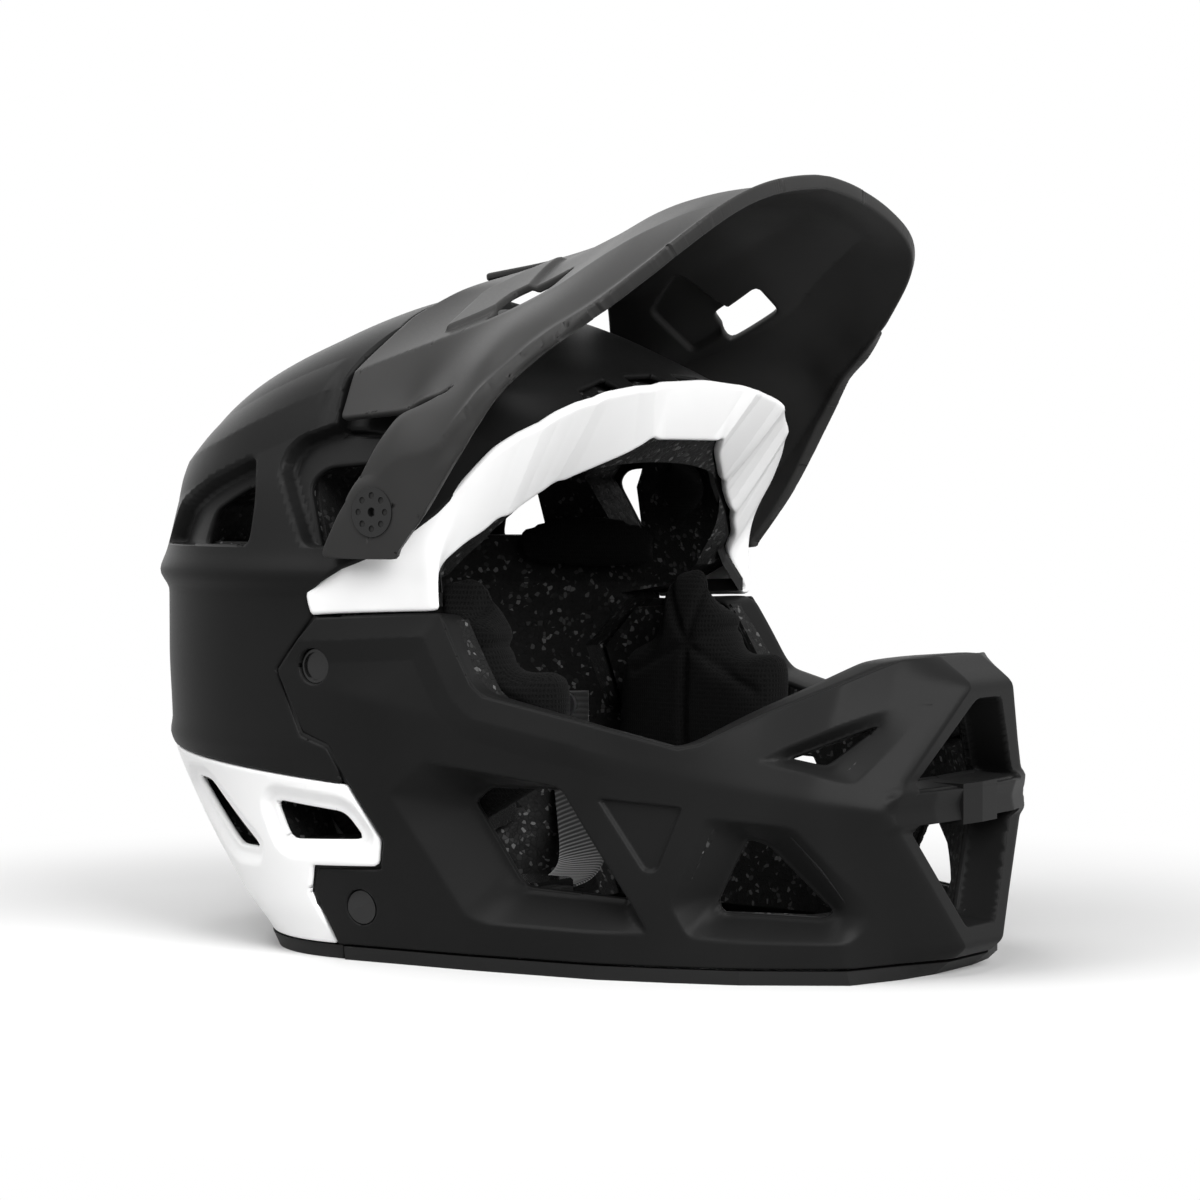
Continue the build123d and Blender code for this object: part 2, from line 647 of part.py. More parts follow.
plug_sinks = {"upper": plug_dish + part_gap, "lower": part_gap}
with BuildPart() as chin_bar:
    add(chin_outer)
    add(chin_inner, mode=Mode.SUBTRACT)
    add(joined(chin_outer, cut=[chin_cavity], trim=[rim_lip]))
    add(joined(chin_outer, trim=[grille_lining, frame_zone]))
    add(cross_bar())
    for name in windows:
        add(both_sides(joined(chin_outer, trim=[window_cut(name, chin_wall, through=False)])))
    for name in bolt_places:
        add(joined(chin_outer, trim=[bolt_bar(name, bolt_boss_radius, -overrun, bolt_boss_depth)]))
    add(chin_region, mode=Mode.INTERSECT)
    add(above_trim, mode=Mode.INTERSECT)
    for name in windows:
        add(both_sides(window_cut(name)), mode=Mode.SUBTRACT)
    for name, sink in plug_sinks.items():
        under = sink + plug_thickness + screw_fit
        add(bolt_bar(name, plug_radius + screw_fit, -overrun, under), mode=Mode.SUBTRACT)
        head_room = bolt_bar(name, bolt_head_radius + screw_fit, -overrun, under + bolt_head_height)
        add(head_room, mode=Mode.SUBTRACT)
        add(bolt_bar(name, bolt_shank_radius + screw_fit, -overrun, 2 * bolt_boss_depth), mode=Mode.SUBTRACT)
    for cut in grille_cuts + [blind]:
        add(cut, mode=Mode.SUBTRACT)
save(largest(chin_bar.part), "chin_bar")

# Clip round the grille's cross bar, open behind
bar_middle = (bar_low + bar_high) / 2
clip_back = cross_bar_shares[-1][1] * half_head
clip_low, clip_high = bar_middle - clip_slot / 2, bar_middle + clip_slot / 2
clip_gap_box = prism([
    (clip_back - part_gap / 2, clip_low), (clip_back + far, clip_low),
    (clip_back + far, clip_high), (clip_back - part_gap / 2, clip_high),
])
clip_span = prism([(0, 0), (0, top_height), (clip_width / 2, top_height), (clip_width / 2, 0)], Plane.XZ)
save(joined(cross_bar(clip_wall), cut=[cross_bar(screw_fit), clip_gap_box], trim=[both_sides(clip_span)]),
     "front_bar_clip")

# Bolts of the chin bar and the plugs over them
for name, sink in plug_sinks.items():
    under = sink + plug_thickness + screw_fit
    plugs = joined(bolt_bar(name, plug_radius, sink, sink + plug_thickness), trim=[chin_form(part_gap)])
    if name == "upper":
        plugs = joined(plugs, cut=[bolt_bar(name, plug_radius - plug_rim, sink - overrun, sink + plug_dish)])
    head = bolt_bar(name, bolt_head_radius, under + screw_fit, under + bolt_head_height)
    shank = bolt_bar(name, bolt_shank_radius, under, under + bolt_head_height + bolt_shank_length)
    socket = bolt_bar(name, bolt_socket_radius, 0, under + bolt_head_height / 2)
    with BuildPart() as bolts:
        add(head)
        add(shank)
        add(bolt_bar(name, bolt_head_radius, -overrun, under + screw_fit), mode=Mode.SUBTRACT)
        add(socket, mode=Mode.SUBTRACT)
    for side, solid in zip(wearer_sides, plugs.solids().sort_by(Axis.X)):
        save(solid, f"plug_{name}_{side}")
    for side, solid in zip(wearer_sides, bolts.part.solids().sort_by(Axis.X)):
        save(solid, f"chin_bolt_{name}_{side}")

# Rubber trims along the lower edge
trim_zone = prism([(-far, 0), (-far, trim_height), (far, trim_height), (far, 0)])
ahead = prism([(-far, 0), (-far, top_height), (seam_low - half_seam, top_height), (seam_low - half_seam, 0)])
behind = prism([(far, 0), (far, top_height), (seam_low + half_seam, top_height), (seam_low + half_seam, 0)])
save(joined(outer_form, cut=[head_form(trim_height)], trim=[trim_zone, behind]), "rear_base_trim")
save(joined(chin_outer, cut=[chin_form(trim_height)], trim=[trim_zone, ahead]), "chin_base_trim")

# Gaskets in the seams between the chin bar and the shells behind it
seam_zone = prism([(0, 0), (0, seam_high), (half_head, seam_high), (half_head, 0)])
gaskets = joined(
    head_form(gasket_sink),
    cut=[head_form(gasket_depth), ahead_of_seam, behind_seam],
    trim=[seam_zone, above_trim],
)
for side, solid in zip(wearer_sides, gaskets.solids().sort_by(SortBy.VOLUME)[-2:].sort_by(Axis.X)):
    save(solid, f"seam_gasket_{side}")


def edge_loft(inner, outer, rise):
    """Loft along the brow band's lower edge between two depths, up to a height above the edge."""
    half = [sized(pair)[1] for pair in band_shares[:-1]] + [tuple(v * half_head for v in band_shares[-1][1])]
    route = half + [(0, *[v * half_head for v in band_middle_shares[1][1:]])]
    route += [(-x, y, z) for x, y, z in reversed(half)]
    sections = []
    for x, y, z in route:
        aim = Vector(-x, centre_y - y, 0).normalized()
        up = Vector(0, 0, rise)
        low = Vector(x, y, z) + Vector(0, 0, part_gap)
        sections.append(Face(Wire.make_polygon(
            [low + aim * outer, low + aim * inner, low + aim * inner + up, low + aim * outer + up]
        )))
    with BuildPart() as edge:
        loft(sections, ruled=True)
    return edge.part


save(edge_loft(band_wall + eye_trim_width, band_wall + eye_trim_gap, eye_trim_height), "eyeport_trim")
eye_trim_room = edge_loft(
    band_wall + eye_trim_width + eye_trim_gap / 2, -half_head, eye_trim_height + eye_trim_gap / 2
)

# Foam liners
upper_foam_region = joined(
    upper_zone(sized(foam_edge_shares), eye_trim_width, part_gap), trim=[behind_seam]
)
sunk_room = joined(prism([
    (-far, shelf_front - foam_outer), (step[0][0] + foam_outer, step[0][1] - foam_outer),
    *[(y + foam_outer, z) for y, z in step[1:]], (-far, step[-1][1]),
]), cut=[foam_sunk_form])
vent_rooms = [
    joined(prism(sized(shares), grow=shell_wall + part_gap), cut=[head_form(vent_recess + foam_outer)])
    for shares in vent_recesses
]
boss_room = both_sides(across(boss_radius + part_gap, boss_face - boss_depth - part_gap, boss_face))
insert_room = both_sides(
    across(screw_shank_radius + screw_hole_gap, boss_face - 2 * screw_shank_length, boss_face)
)
anchor = [value * half_head for value in anchor_share]
anchor_room = both_sides(across(
    rivet_shank_radius + screw_fit, anchor[0] - overrun, anchor[0] + anchor_length + loft_overrun, *anchor[1:]
))
eps_crown = joined(
    foam_form,
    trim=[upper_foam_region],
    cut=[cavity_form, sunk_room, *vent_rooms, *side_openings, *front_openings, *top_openings,
         band_room, eye_trim_room, boss_room, insert_room, anchor_room],
)
save(largest(eps_crown), "eps_crown")
eps_rear = joined(foam_form, trim=[white_region, above_trim], cut=[cavity_form, *white_openings])
save(largest(eps_rear), "eps_rear")

chin_foam_region = joined(ahead_of_seam, trim=[below_rim(chin_rim_height + part_gap)])
frame_room = joined(prism(ring, Plane.XZ, far, both=False, grow=chin_wall + part_gap), trim=[
    prism([(-far, 0), (-far, top_height), (frame_back + part_gap, top_height), (frame_back + part_gap, 0)])])
foam_cuts = [both_sides(window_cut(name)) for name in windows]
foam_cuts += [both_sides(window_cut(name, chin_wall + part_gap, through=False)) for name in windows]
foam_cuts += [
    bolt_bar(name, bolt_boss_radius + part_gap, -overrun, bolt_boss_depth + part_gap) for name in bolt_places
]
eps_chin = joined(
    chin_foam_form,
    trim=[chin_foam_region, above_trim],
    cut=[chin_cavity, *foam_cuts, *grille_cuts, frame_room, cross_bar(clip_wall + part_gap), chin_bar.part],
)
save(largest(eps_chin), "eps_chin")


# Visor
def moved_in(line, wall):
    """An open line moved to its inner side by a wall's thickness, with its corners kept."""
    moved = []
    for index, point in enumerate(line):
        normals = []
        for start, end in zip(line, line[1:]):
            if point in (start, end):
                step = Vector(*end) - Vector(*start)
                normals.append(Vector(step.Y, -step.X).normalized())
        mean = sum(normals, Vector()).normalized()
        moved.append(tuple(Vector(*point) + mean * (wall / mean.dot(normals[0])))[:2])
    return moved


def roof():
    """Roof of the visor: bent sheet lofted from the rear to the front."""
    with BuildPart() as sheet:
        for place, half in roof_shares:
            outer = [(-x, z) for x, z in sized(half)] + [(x, z) for x, z in reversed(sized(half))]
            with BuildSketch(Plane.XZ.offset(-place * half_head)):
                with BuildLine():
                    Polyline(*outer, *reversed(moved_in(outer, visor_wall)), close=True)
                make_face()
        loft(ruled=True)
    return sheet.part


def arm():
    """Arm of the visor on one side, lofted from its tip upwards."""
    with BuildPart() as blade:
        for height, plan in arm_shares:
            outer = sized(plan)
            with BuildSketch(Plane.XY.offset(height * half_head)):
                with BuildLine():
                    Polyline(*outer, *[(x - arm_wall, y) for x, y in reversed(outer)], close=True)
                make_face()
        loft(ruled=True)
    return blade.part


step_gap = prism(
    [(y - step_clearance, z) for y, z in step]
    + [(-far, step[-1][1]), (-far, 0), (step[0][0] - step_clearance, 0)]
)
brim = sized(brim_shares)
brim_zone = prism(
    brim + [(-x, y) for x, y in brim[-2::-1]]
    + [(-far, brim[0][1]), (-far, far), (far, far), (far, brim[0][1])],
    Plane.XY, top_height, both=False,
)
wing_gap = sized(wing_gap_shares)
seat_face = arm_outer - screw_head_sink
with BuildPart() as visor:
    add(roof())
    add(both_sides(arm()))
    add(both_sides(across(hub_radius, boss_face + part_gap, arm_outer)))
    add(step_gap, mode=Mode.INTERSECT)
    add(brim_zone, mode=Mode.INTERSECT)
    for outline in (sized(visor_slot_shares), wing_gap):
        add(both_sides(prism(outline, Plane.XY, top_height, both=False)), mode=Mode.SUBTRACT)
    add(both_sides(across(hub_radius, boss_face - overrun, boss_face + part_gap)), mode=Mode.SUBTRACT)
    add(both_sides(across(screw_head_radius + screw_fit, seat_face, arm_outer + overrun)), mode=Mode.SUBTRACT)
    screw_bar = across(screw_shank_radius + screw_fit, boss_face - overrun, arm_outer)
    add(both_sides(screw_bar), mode=Mode.SUBTRACT)
save(largest(visor.part), "visor")

# Screws of the visor, and the inserts that they turn in
with BuildPart() as screws:
    add(across(screw_head_radius, seat_face + screw_fit, seat_face + screw_head_height))
    add(across(screw_shank_radius, seat_face - screw_shank_length, seat_face + screw_fit))
    face = seat_face + screw_head_height
    with BuildSketch(Plane(origin=(face, *visor_axis), z_dir=(1, 0, 0))):
        with PolarLocations(grip_ring_radius, 8):
            Circle(grip_hole_radius)
        Circle(socket_radius)
    extrude(amount=-grip_hole_depth, mode=Mode.SUBTRACT)
for side, solid in zip(wearer_sides, both_sides(screws.part).solids().sort_by(Axis.X)):
    save(solid, f"visor_screw_{side}")
insert = joined(
    across(insert_radius, insert_start, boss_face),
    cut=[across(screw_shank_radius + screw_fit, insert_start - overrun, boss_face + overrun)],
)
for side, solid in zip(wearer_sides, both_sides(insert).solids().sort_by(Axis.X)):
    save(solid, f"visor_insert_{side}")


# Pads
def form_point(inset, turn, height):
    """Point on the head form drawn in by an inset, at a turn from the front and a height."""
    shrink = 1 - inset / form_half_width
    level = (centre_z + (height * half_head - centre_z) / shrink) / half_head
    low, high = next(pair for pair in zip(head_shares, head_shares[1:]) if pair[0][0] <= level <= pair[1][0])
    share = (level - low[0]) / (high[0] - low[0])
    _, front, rear, half, middle, fore, aft = (a + share * (b - a) for a, b in zip(low, high))
    end, fullness, t = (front, fore, turn) if turn <= 1 else (rear, aft, 2 - turn)
    weights = ((1 - t) ** 3, 3 * t * (1 - t) ** 2, 3 * t**2 * (1 - t), t**3)
    xs = (0, fullness * half, half, half)
    ys = (end, end, middle + fullness * (end - middle), middle)
    x, y = (sum(w * v for w, v in zip(weights, values)) * half_head for values in (xs, ys))
    return Vector(x * shrink, centre_y + (y - centre_y) * shrink, height * half_head)


def roll(routes, width, gap=close_pad_gap, across_x=False):
    """Crowned pad that follows the inside of the foam, lofted through ovals and drawn in at its ends."""
    depth = foam_inner + gap + pad_thickness / 2
    places = [form_point(depth, *spot) for spot in routes]
    widths = [Vector(1, 0, 0) if across_x else form_point(depth, turn, height + rise_step)
              - form_point(depth, turn, height - rise_step) for turn, height in routes]
    if not across_x:
        flip = [
            (Vector(-p.X, p.Y, p.Z), Vector(-w.X, w.Y, w.Z)) for p, w in zip(places, widths) if p.X > part_gap
        ]
        pairs = list(zip(places, widths))
        if places[0].X < part_gap:
            pairs = flip[::-1] + pairs
        elif places[-1].X < part_gap:
            pairs = pairs + flip[::-1]
        places, widths = zip(*pairs)
    last = len(places) - 1
    with BuildPart() as cushion:
        for index, (place, wide) in enumerate(zip(places, widths)):
            run = places[min(index + 1, last)] - places[max(index - 1, 0)]
            size = pad_end_share if index in (0, last) else 1
            with BuildSketch(Plane(origin=place, x_dir=wide.cross(run), z_dir=run)):
                Ellipse(pad_thickness / 2 * size, width / 2 * size)
        loft()
    return cushion.part


def save_pair(piece, name):
    """Save a piece and its mirror image as the right and the left one."""
    for side, solid in zip(wearer_sides, both_sides(piece).solids().sort_by(Axis.X)):
        save(solid, f"{name}_{side}")


save(roll(brow_route, brow_height, brow_pad_gap), "brow_pad")
save(roll(occipital_route, occipital_height), "occipital_pad")
save(roll(neck_route, neck_height, pad_gap), "neck_roll")
save(roll(crown_front_route + crown_rear_route, crown_width, pad_gap, across_x=True), "crown_pad")
save_pair(roll(temple_route, temple_height), "temple_pad")

cheek_plane = Plane(origin=[v * half_head for v in cheek_place], x_dir=(cheek_normal[1], -cheek_normal[0], 0),
                    z_dir=cheek_normal)
with BuildPart() as cheek_pad:
    for share, size in pillow_shares:
        with BuildSketch(cheek_plane.offset(share * cheek_thickness)):
            with BuildLine():
                Polyline(*[(y * size, z * size) for y, z in sized(cheek_pad_shares)], close=True)
            make_face()
    loft()
foam_behind_cheek = joined(behind_seam, cut=[head_form(foam_inner + pad_gap)])
cheek_piece = joined(cheek_pad.part, cut=[foam_behind_cheek], trim=[chin_form(chin_depth + pad_gap)])
save_pair(cheek_piece, "cheek_pad")

# Chin strap, its anchors and its buckle
strap_points = [Vector(*point) for point in sized(strap_route)]
with BuildPart() as strap:
    for index, place in enumerate(strap_points):
        after = strap_points[min(index + 1, len(strap_points) - 1)]
        before = strap_points[max(index - 1, 0)]
        run = after - before if 0 < index < len(strap_points) - 1 else Vector(*(
            (0, 0, -1) if index == 0 else (-1, 0, 0)))
        with BuildSketch(Plane(origin=place, x_dir=(0, 1, 0), z_dir=run)):
            Rectangle(strap_width, strap_thickness)
    loft()
anchor_bar = across(
    rivet_shank_radius, anchor[0] - strap_thickness, anchor[0] + anchor_length, anchor[1], anchor[2]
)
anchor_head = across(rivet_radius, anchor[0] - strap_thickness / 2 - part_gap - rivet_height,
                     anchor[0] - strap_thickness / 2 - part_gap, anchor[1], anchor[2])
strap_hole = across(
    rivet_shank_radius + part_gap, anchor[0] - overrun, anchor[0] + overrun, anchor[1], anchor[2]
)
save_pair(joined(strap.part, cut=[strap_hole]), "strap")
with BuildPart() as rivet:
    add(anchor_bar)
    add(anchor_head)
save_pair(rivet.part, "strap_rivet")

buckle_middle = (strap_route[-1][1] * half_head, strap_route[-1][2] * half_head)
with BuildPart() as buckle:
    with Locations((0, *buckle_middle)):
        Box(buckle_length, buckle_width, buckle_height)
    fillet(buckle.edges().filter_by(Axis.Z), buckle_corner)
    chamfer(buckle.faces().filter_by(Axis.Z).edges(), buckle_edge)
    pocket = tab_length - tab_out + tab_travel + tab_gap
    with Locations((0, buckle_middle[0] - buckle_width / 2 + pocket / 2, buckle_middle[1])):
        Box(tab_width + 2 * tab_gap, pocket, tab_height + 2 * tab_gap, mode=Mode.SUBTRACT)
save(buckle.part, "buckle_body")
with BuildPart() as tab:
    with Locations((0, buckle_middle[0] - buckle_width / 2 - tab_out + tab_length / 2, buckle_middle[1])):
        Box(tab_width, tab_length, tab_height)
    fillet(tab.edges().filter_by(Axis.Z).sort_by(Axis.Y)[:2], tab_height / 2)
save(tab.part, "buckle_tab")
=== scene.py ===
"""Downhill bike full face helmet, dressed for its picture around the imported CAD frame.

Metres, +Z up, the face looks along -Y. Outlines are tables of shares of half the length of the head that
the helmet fits, as in the CAD, so that a share times HALF_HEAD is a real size.
"""

import logging  # noqa: E402
import math  # noqa: E402
from dataclasses import dataclass, field  # noqa: E402
from enum import Enum  # noqa: E402
from typing import Callable, Iterable, Sequence  # noqa: E402

import bmesh  # noqa: E402
import bpy  # noqa: E402
import numpy as np  # noqa: E402
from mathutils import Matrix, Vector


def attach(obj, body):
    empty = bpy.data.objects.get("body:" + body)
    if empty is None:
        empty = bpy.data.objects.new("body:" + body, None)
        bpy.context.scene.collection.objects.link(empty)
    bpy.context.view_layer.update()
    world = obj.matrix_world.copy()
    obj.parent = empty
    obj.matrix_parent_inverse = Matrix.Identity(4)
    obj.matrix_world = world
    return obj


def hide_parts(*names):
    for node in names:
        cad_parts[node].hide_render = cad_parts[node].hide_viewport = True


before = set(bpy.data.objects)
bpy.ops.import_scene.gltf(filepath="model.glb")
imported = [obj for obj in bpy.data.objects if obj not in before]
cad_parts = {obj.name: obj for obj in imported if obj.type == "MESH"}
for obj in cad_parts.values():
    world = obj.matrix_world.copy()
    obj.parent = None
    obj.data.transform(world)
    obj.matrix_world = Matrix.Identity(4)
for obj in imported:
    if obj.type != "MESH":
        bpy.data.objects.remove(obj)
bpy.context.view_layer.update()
log = logging.getLogger("helmet")

Array = np.ndarray
Field = Callable[[Array], Array]
Colour = tuple[float, float, float, float]
Point3 = tuple[float, float, float]

HEAD_LENGTH = 0.200
HALF_HEAD = HEAD_LENGTH / 2
MIDDLE_Y = (1.755 - 1.72) / 2 * HALF_HEAD
MM = 0.001
SIDES = ("left", "right")
# A field nearer to zero than this counts as inside, and a cut stays this share of a side off its ends
NEAR_ZERO = 1e-8
LEAST_SHARE = 0.01


# Shader nodes
def math_node(operation: str, reflected: bool = False) -> Callable[..., "Term"]:
    """Method of a term that adds a Math node; a reflected one takes its two terms the other way round."""

    def add(term: "Term", other: "Term | float" = 0.0) -> "Term":
        """Add the node and give its output."""
        first, second = (other, term) if reflected else (term, other)
        return term.nodes.node("ShaderNodeMath", {"operation": operation}, {0: first, 1: second})[0]

    return add


class Term:
    """A shader socket that can be written in arithmetic; each operation adds one Math node."""

    __add__, __radd__ = math_node("ADD"), math_node("ADD", reflected=True)
    __sub__, __rsub__ = math_node("SUBTRACT"), math_node("SUBTRACT", reflected=True)
    __mul__, __rmul__ = math_node("MULTIPLY"), math_node("MULTIPLY", reflected=True)
    least, most, above = math_node("MINIMUM"), math_node("MAXIMUM"), math_node("GREATER_THAN")
    size, sine = math_node("ABSOLUTE"), math_node("SINE")

    def __init__(self, nodes: "Nodes", socket: bpy.types.NodeSocket) -> None:
        """Wrap a socket of a node tree."""
        self.nodes = nodes
        self.socket = socket

    def spread(self, low: float, high: float, to_low: float = 0.0, to_high: float = 1.0) -> "Term":
        """Map a range to another smoothly, held at its ends."""
        return self.nodes.node(
            "ShaderNodeMapRange", {"interpolation_type": "SMOOTHSTEP"},
            {0: self, 1: low, 2: high, 3: to_low, 4: to_high},
        )[0]


class Nodes:
    """A node tree with one method that adds any node."""

    def __init__(self, tree: bpy.types.NodeTree) -> None:
        """Wrap a tree."""
        self.tree = tree

    def node(self, kind: str, settings: dict | None = None, inputs: dict | None = None) -> list[Term]:
        """Add a node.

        Args:
            kind: The node's type.
            settings: Properties, set first.
            inputs: Values or terms by the socket's name or number.

        Returns:
            The node's enabled outputs as terms.
        """
        new = self.tree.nodes.new(kind)
        for key, value in (settings or {}).items():
            setattr(new, key, value)
        for key, value in (inputs or {}).items():
            self.feed(new.inputs[key], value)
        return [Term(self, socket) for socket in new.outputs if socket.enabled]

    def feed(self, socket: bpy.types.NodeSocket, value: object) -> None:
        """Link a term to a socket, or set its value."""
        if isinstance(value, Term):
            self.tree.links.new(value.socket, socket)
        else:
            socket.default_value = value

    def seen(self) -> Term:
        """One for rays of the camera, mirrored and passed on too, and zero for rays that only light."""
        path = self.node("ShaderNodeLightPath")
        camera, glossy, passed_on = path[0], path[3], path[6]
        return camera.most(glossy).most(passed_on)


class Graph(Nodes):
    """Node tree of one material, round a Principled shader."""

    def __init__(self, name: str) -> None:
        """Start a material of a name."""
        self.material = bpy.data.materials.new(name)
        self.material.use_nodes = True
        super().__init__(self.material.node_tree)
        self.tree.nodes.clear()
        self.shader = self.tree.nodes.new("ShaderNodeBsdfPrincipled")
        self.output = self.tree.nodes.new("ShaderNodeOutputMaterial")
        self.tree.links.new(self.shader.outputs[0], self.output.inputs[0])

    def set(self, **values: object) -> None:
        """Set or link the shader's own sockets, with underscores for spaces."""
        for key, value in values.items():
            self.feed(self.shader.inputs[key.replace("_", " ")], value)

    def place(self) -> Term:
        """Object coordinates."""
        return self.node("ShaderNodeTexCoord")[3]

    def noise(self, scale: float, detail: float = 3.0) -> Term:
        """Noise value of a scale in lumps per metre."""
        return self.node("ShaderNodeTexNoise", {}, {
            "Vector": self.place(), "Scale": scale, "Detail": detail, "Roughness": 0.5})[0]

    def mix(self, share: Term | float, first: object, second: object) -> Term:
        """Blend two colours by a share."""
        return self.node("ShaderNodeMix", {"data_type": "RGBA"}, {0: share, 6: first, 7: second})[0]

    def cover(self, share: Term, top: Term) -> None:
        """Lay another shader over the first by a share."""
        under = Term(self, self.shader.outputs[0])
        both = self.node("ShaderNodeMixShader", {}, {0: share, 1: under, 2: top})[0]
        self.feed(self.output.inputs[0], both)

    def bump(self, height: Term, strength: float, distance: float) -> Term:
        """Bump from a height."""
        return self.node("ShaderNodeBump", {}, {"Height": height, "Strength": strength, "Distance": distance})[0]


def grey(level: float, warmth: float = 0.0) -> Colour:
    """Grey colour of a level, warmer or cooler by a share of it."""
    return (level * (1 + warmth), level, level * (1 - warmth), 1.0)


# Finishes; scales are in lumps per metre, levels and strengths are shares
@dataclass(frozen=True)
class MouldedShell:
    """Matt or satin moulded plastic: fine grain, faint cloudiness, dust in its roughness."""

    name: str
    level: float
    warmth: float = 0.0
    rough: float = 0.42
    grain_scale: float = 2600.0
    grain_depth: float = 0.03 * MM
    grain_strength: float = 0.35
    coat: float = 0.0
    specular: float = 0.5
    cloud: float = 0.12
    cloud_scale: float = 14.0
    dust_scale: float = 900.0

    def build(self) -> bpy.types.Material:
        """Make the material."""
        g = Graph(self.name)
        clouds, fine, dust = g.noise(self.cloud_scale, 4.0), g.noise(self.grain_scale, 2.0), g.noise(self.dust_scale)
        low, high = (grey(self.level * (1 + sign * self.cloud), self.warmth) for sign in (-1, 1))
        g.set(
            Base_Color=g.mix(clouds.spread(0.3, 0.7), low, high),
            Roughness=(self.rough + (clouds - 0.5) * 0.10 + (dust - 0.5) * 0.08).least(1.0),
            Normal=g.bump(fine, self.grain_strength, self.grain_depth),
            Coat_Weight=self.coat, Coat_Roughness=0.25, Specular_IOR_Level=self.specular,
        )
        return g.material


@dataclass(frozen=True)
class BeadFoam:
    """Moulded bead foam: pressed cells of black beads with paler ones strewn among them."""

    name: str
    bead: float = 560.0
    dark: float = 0.006
    pale: float = 0.10
    seam_depth: float = 0.4 * MM

    def build(self) -> bpy.types.Material:
        """Make the material."""
        g = Graph(self.name)
        beads = {"Vector": g.place(), "Scale": self.bead}
        cell = g.node("ShaderNodeTexVoronoi", {"feature": "F1"}, beads)
        edge = g.node("ShaderNodeTexVoronoi", {"feature": "DISTANCE_TO_EDGE"}, beads)[0]
        lot = g.node("ShaderNodeSeparateColor", {}, {0: cell[1]})
        paleness = lot[0].spread(0.70, 1.0) * lot[1].spread(0.2, 0.8)
        seam = edge.spread(0.0, 0.10)
        g.set(
            Base_Color=g.mix(seam, grey(self.dark * 0.4), g.mix(paleness, grey(self.dark), grey(self.pale))),
            Roughness=0.62 + lot[2] * 0.18,
            Normal=g.bump(seam, 0.5, self.seam_depth),
            Specular_IOR_Level=0.15,
        )
        return g.material


class Knit(Enum):
    """Kinds of cloth on the liner: where its hollows begin and end, and the share of the cloth's level left in them,
    which paints shade into the hollows.
    """

    MESH = (0.42, 0.72, 0.18)
    FLEECE = (0.45, 0.80, 0.70)


@dataclass(frozen=True)
class SpacerCloth:
    """Black liner cloth: rows of holes in a knit, in the plane that the surface faces most, or a fleece; its hollows
    are painted darker as shade.
    """

    name: str
    knit: Knit = Knit.MESH
    pitch: float = 2.4 * MM
    # The level is partly the liner's own black and partly painted shade: the cloth is made darker because the pads
    # sit in shade inside the helmet.
    level: float = 0.0028
    sheen: float = 0.015
    squash: float = 0.62
    thread_scale: float = 2400.0
    tuft_scale: float = 1500.0
    hole_depth: float = 0.6 * MM

    def weave(self, g: Graph) -> Term:
        """Height of the holes: the size of one sine times another, along the two axes of the surface."""
        where = g.node("ShaderNodeSeparateXYZ", {}, {0: g.place()})
        normal = g.node("ShaderNodeNewGeometry")[1]
        x, y, z = (axis.size() for axis in g.node("ShaderNodeSeparateXYZ", {}, {0: normal}))
        along_x = x.above(y) * x.above(z)
        along_z = z.above(y) * (1 - along_x)
        first = where[1] * along_x + where[0] * (1 - along_x)
        second = where[1] * along_z + where[2] * (1 - along_z)
        turn = math.tau / self.pitch
        return ((first * turn).sine() * (second * (turn * self.squash)).sine()).size()

    def build(self) -> bpy.types.Material:
        """Make the material."""
        g = Graph(self.name)
        begin, end, hollow_shade_share = self.knit.value
        height = self.weave(g) if self.knit is Knit.MESH else g.noise(self.tuft_scale, 4.0)
        hollow, thread = height.spread(begin, end), g.noise(self.thread_scale)
        # Painted shade: the hollows of the knit or fleece are coloured a share of the cloth's level, darker than the
        # rest.
        hollow_shaded_tint = g.mix(hollow, grey(self.level), grey(self.level * hollow_shade_share))
        g.set(
            Base_Color=g.mix(thread.spread(0.35, 0.75), hollow_shaded_tint, grey(self.level * 1.7)),
            Roughness=0.86 + thread * 0.1, Normal=g.bump(thread * 0.35 - hollow, 0.75, self.hole_depth),
            Sheen_Weight=self.sheen, Sheen_Roughness=0.5, Specular_IOR_Level=0.08,
        )
        return g.material


@dataclass(frozen=True)
class Webbing:
    """Woven strap: ribs across its width and a herringbone of threads along it, on its own UV map; its colour follows
    the ribs' height, with painted shade in the grooves and painted highlight on the tops.
    """

    name: str
    level: float = 0.012
    ribs: float = 2600.0
    thread_scale: float = 2600.0
    rib_depth: float = 0.3 * MM

    def build(self) -> bpy.types.Material:
        """Make the material."""
        g = Graph(self.name)
        spot = g.node("ShaderNodeSeparateXYZ", {}, {0: g.node("ShaderNodeTexCoord")[2]})
        rib = (spot[0] * self.ribs + (spot[1] * 90.0).sine() * 0.8).sine()
        thread = g.noise(self.thread_scale, 2.0)
        # The ribs' colour follows their height: painted shade in the grooves and painted highlight on the rib tops.
        g.set(
            Base_Color=g.mix(rib.spread(-1.0, 1.0), grey(self.level * 0.6), grey(self.level * 1.5)),
            Roughness=0.75 + thread * 0.2, Normal=g.bump(rib + thread * 0.5, 0.6, self.rib_depth),
            Sheen_Weight=0.3, Specular_IOR_Level=0.25,
        )
        return g.material


@dataclass(frozen=True)
class Metal:
    """Turned or zinc plated metal with fine scratches."""

    name: str
    colour: Colour
    rough: float = 0.32
    scratch_scale: float = 1800.0
    scratch_depth: float = 0.05 * MM

    def build(self) -> bpy.types.Material:
        """Make the material."""
        g = Graph(self.name)
        fine = g.noise(self.scratch_scale, 4.0)
        dull = tuple(0.8 * value for value in self.colour[:3]) + (1.0,)
        g.set(Base_Color=g.mix(fine.spread(0.3, 0.8), self.colour, dull), Metallic=1.0,
              Roughness=self.rough + (fine - 0.5) * 0.2, Normal=g.bump(fine, 0.15, self.scratch_depth))
        return g.material


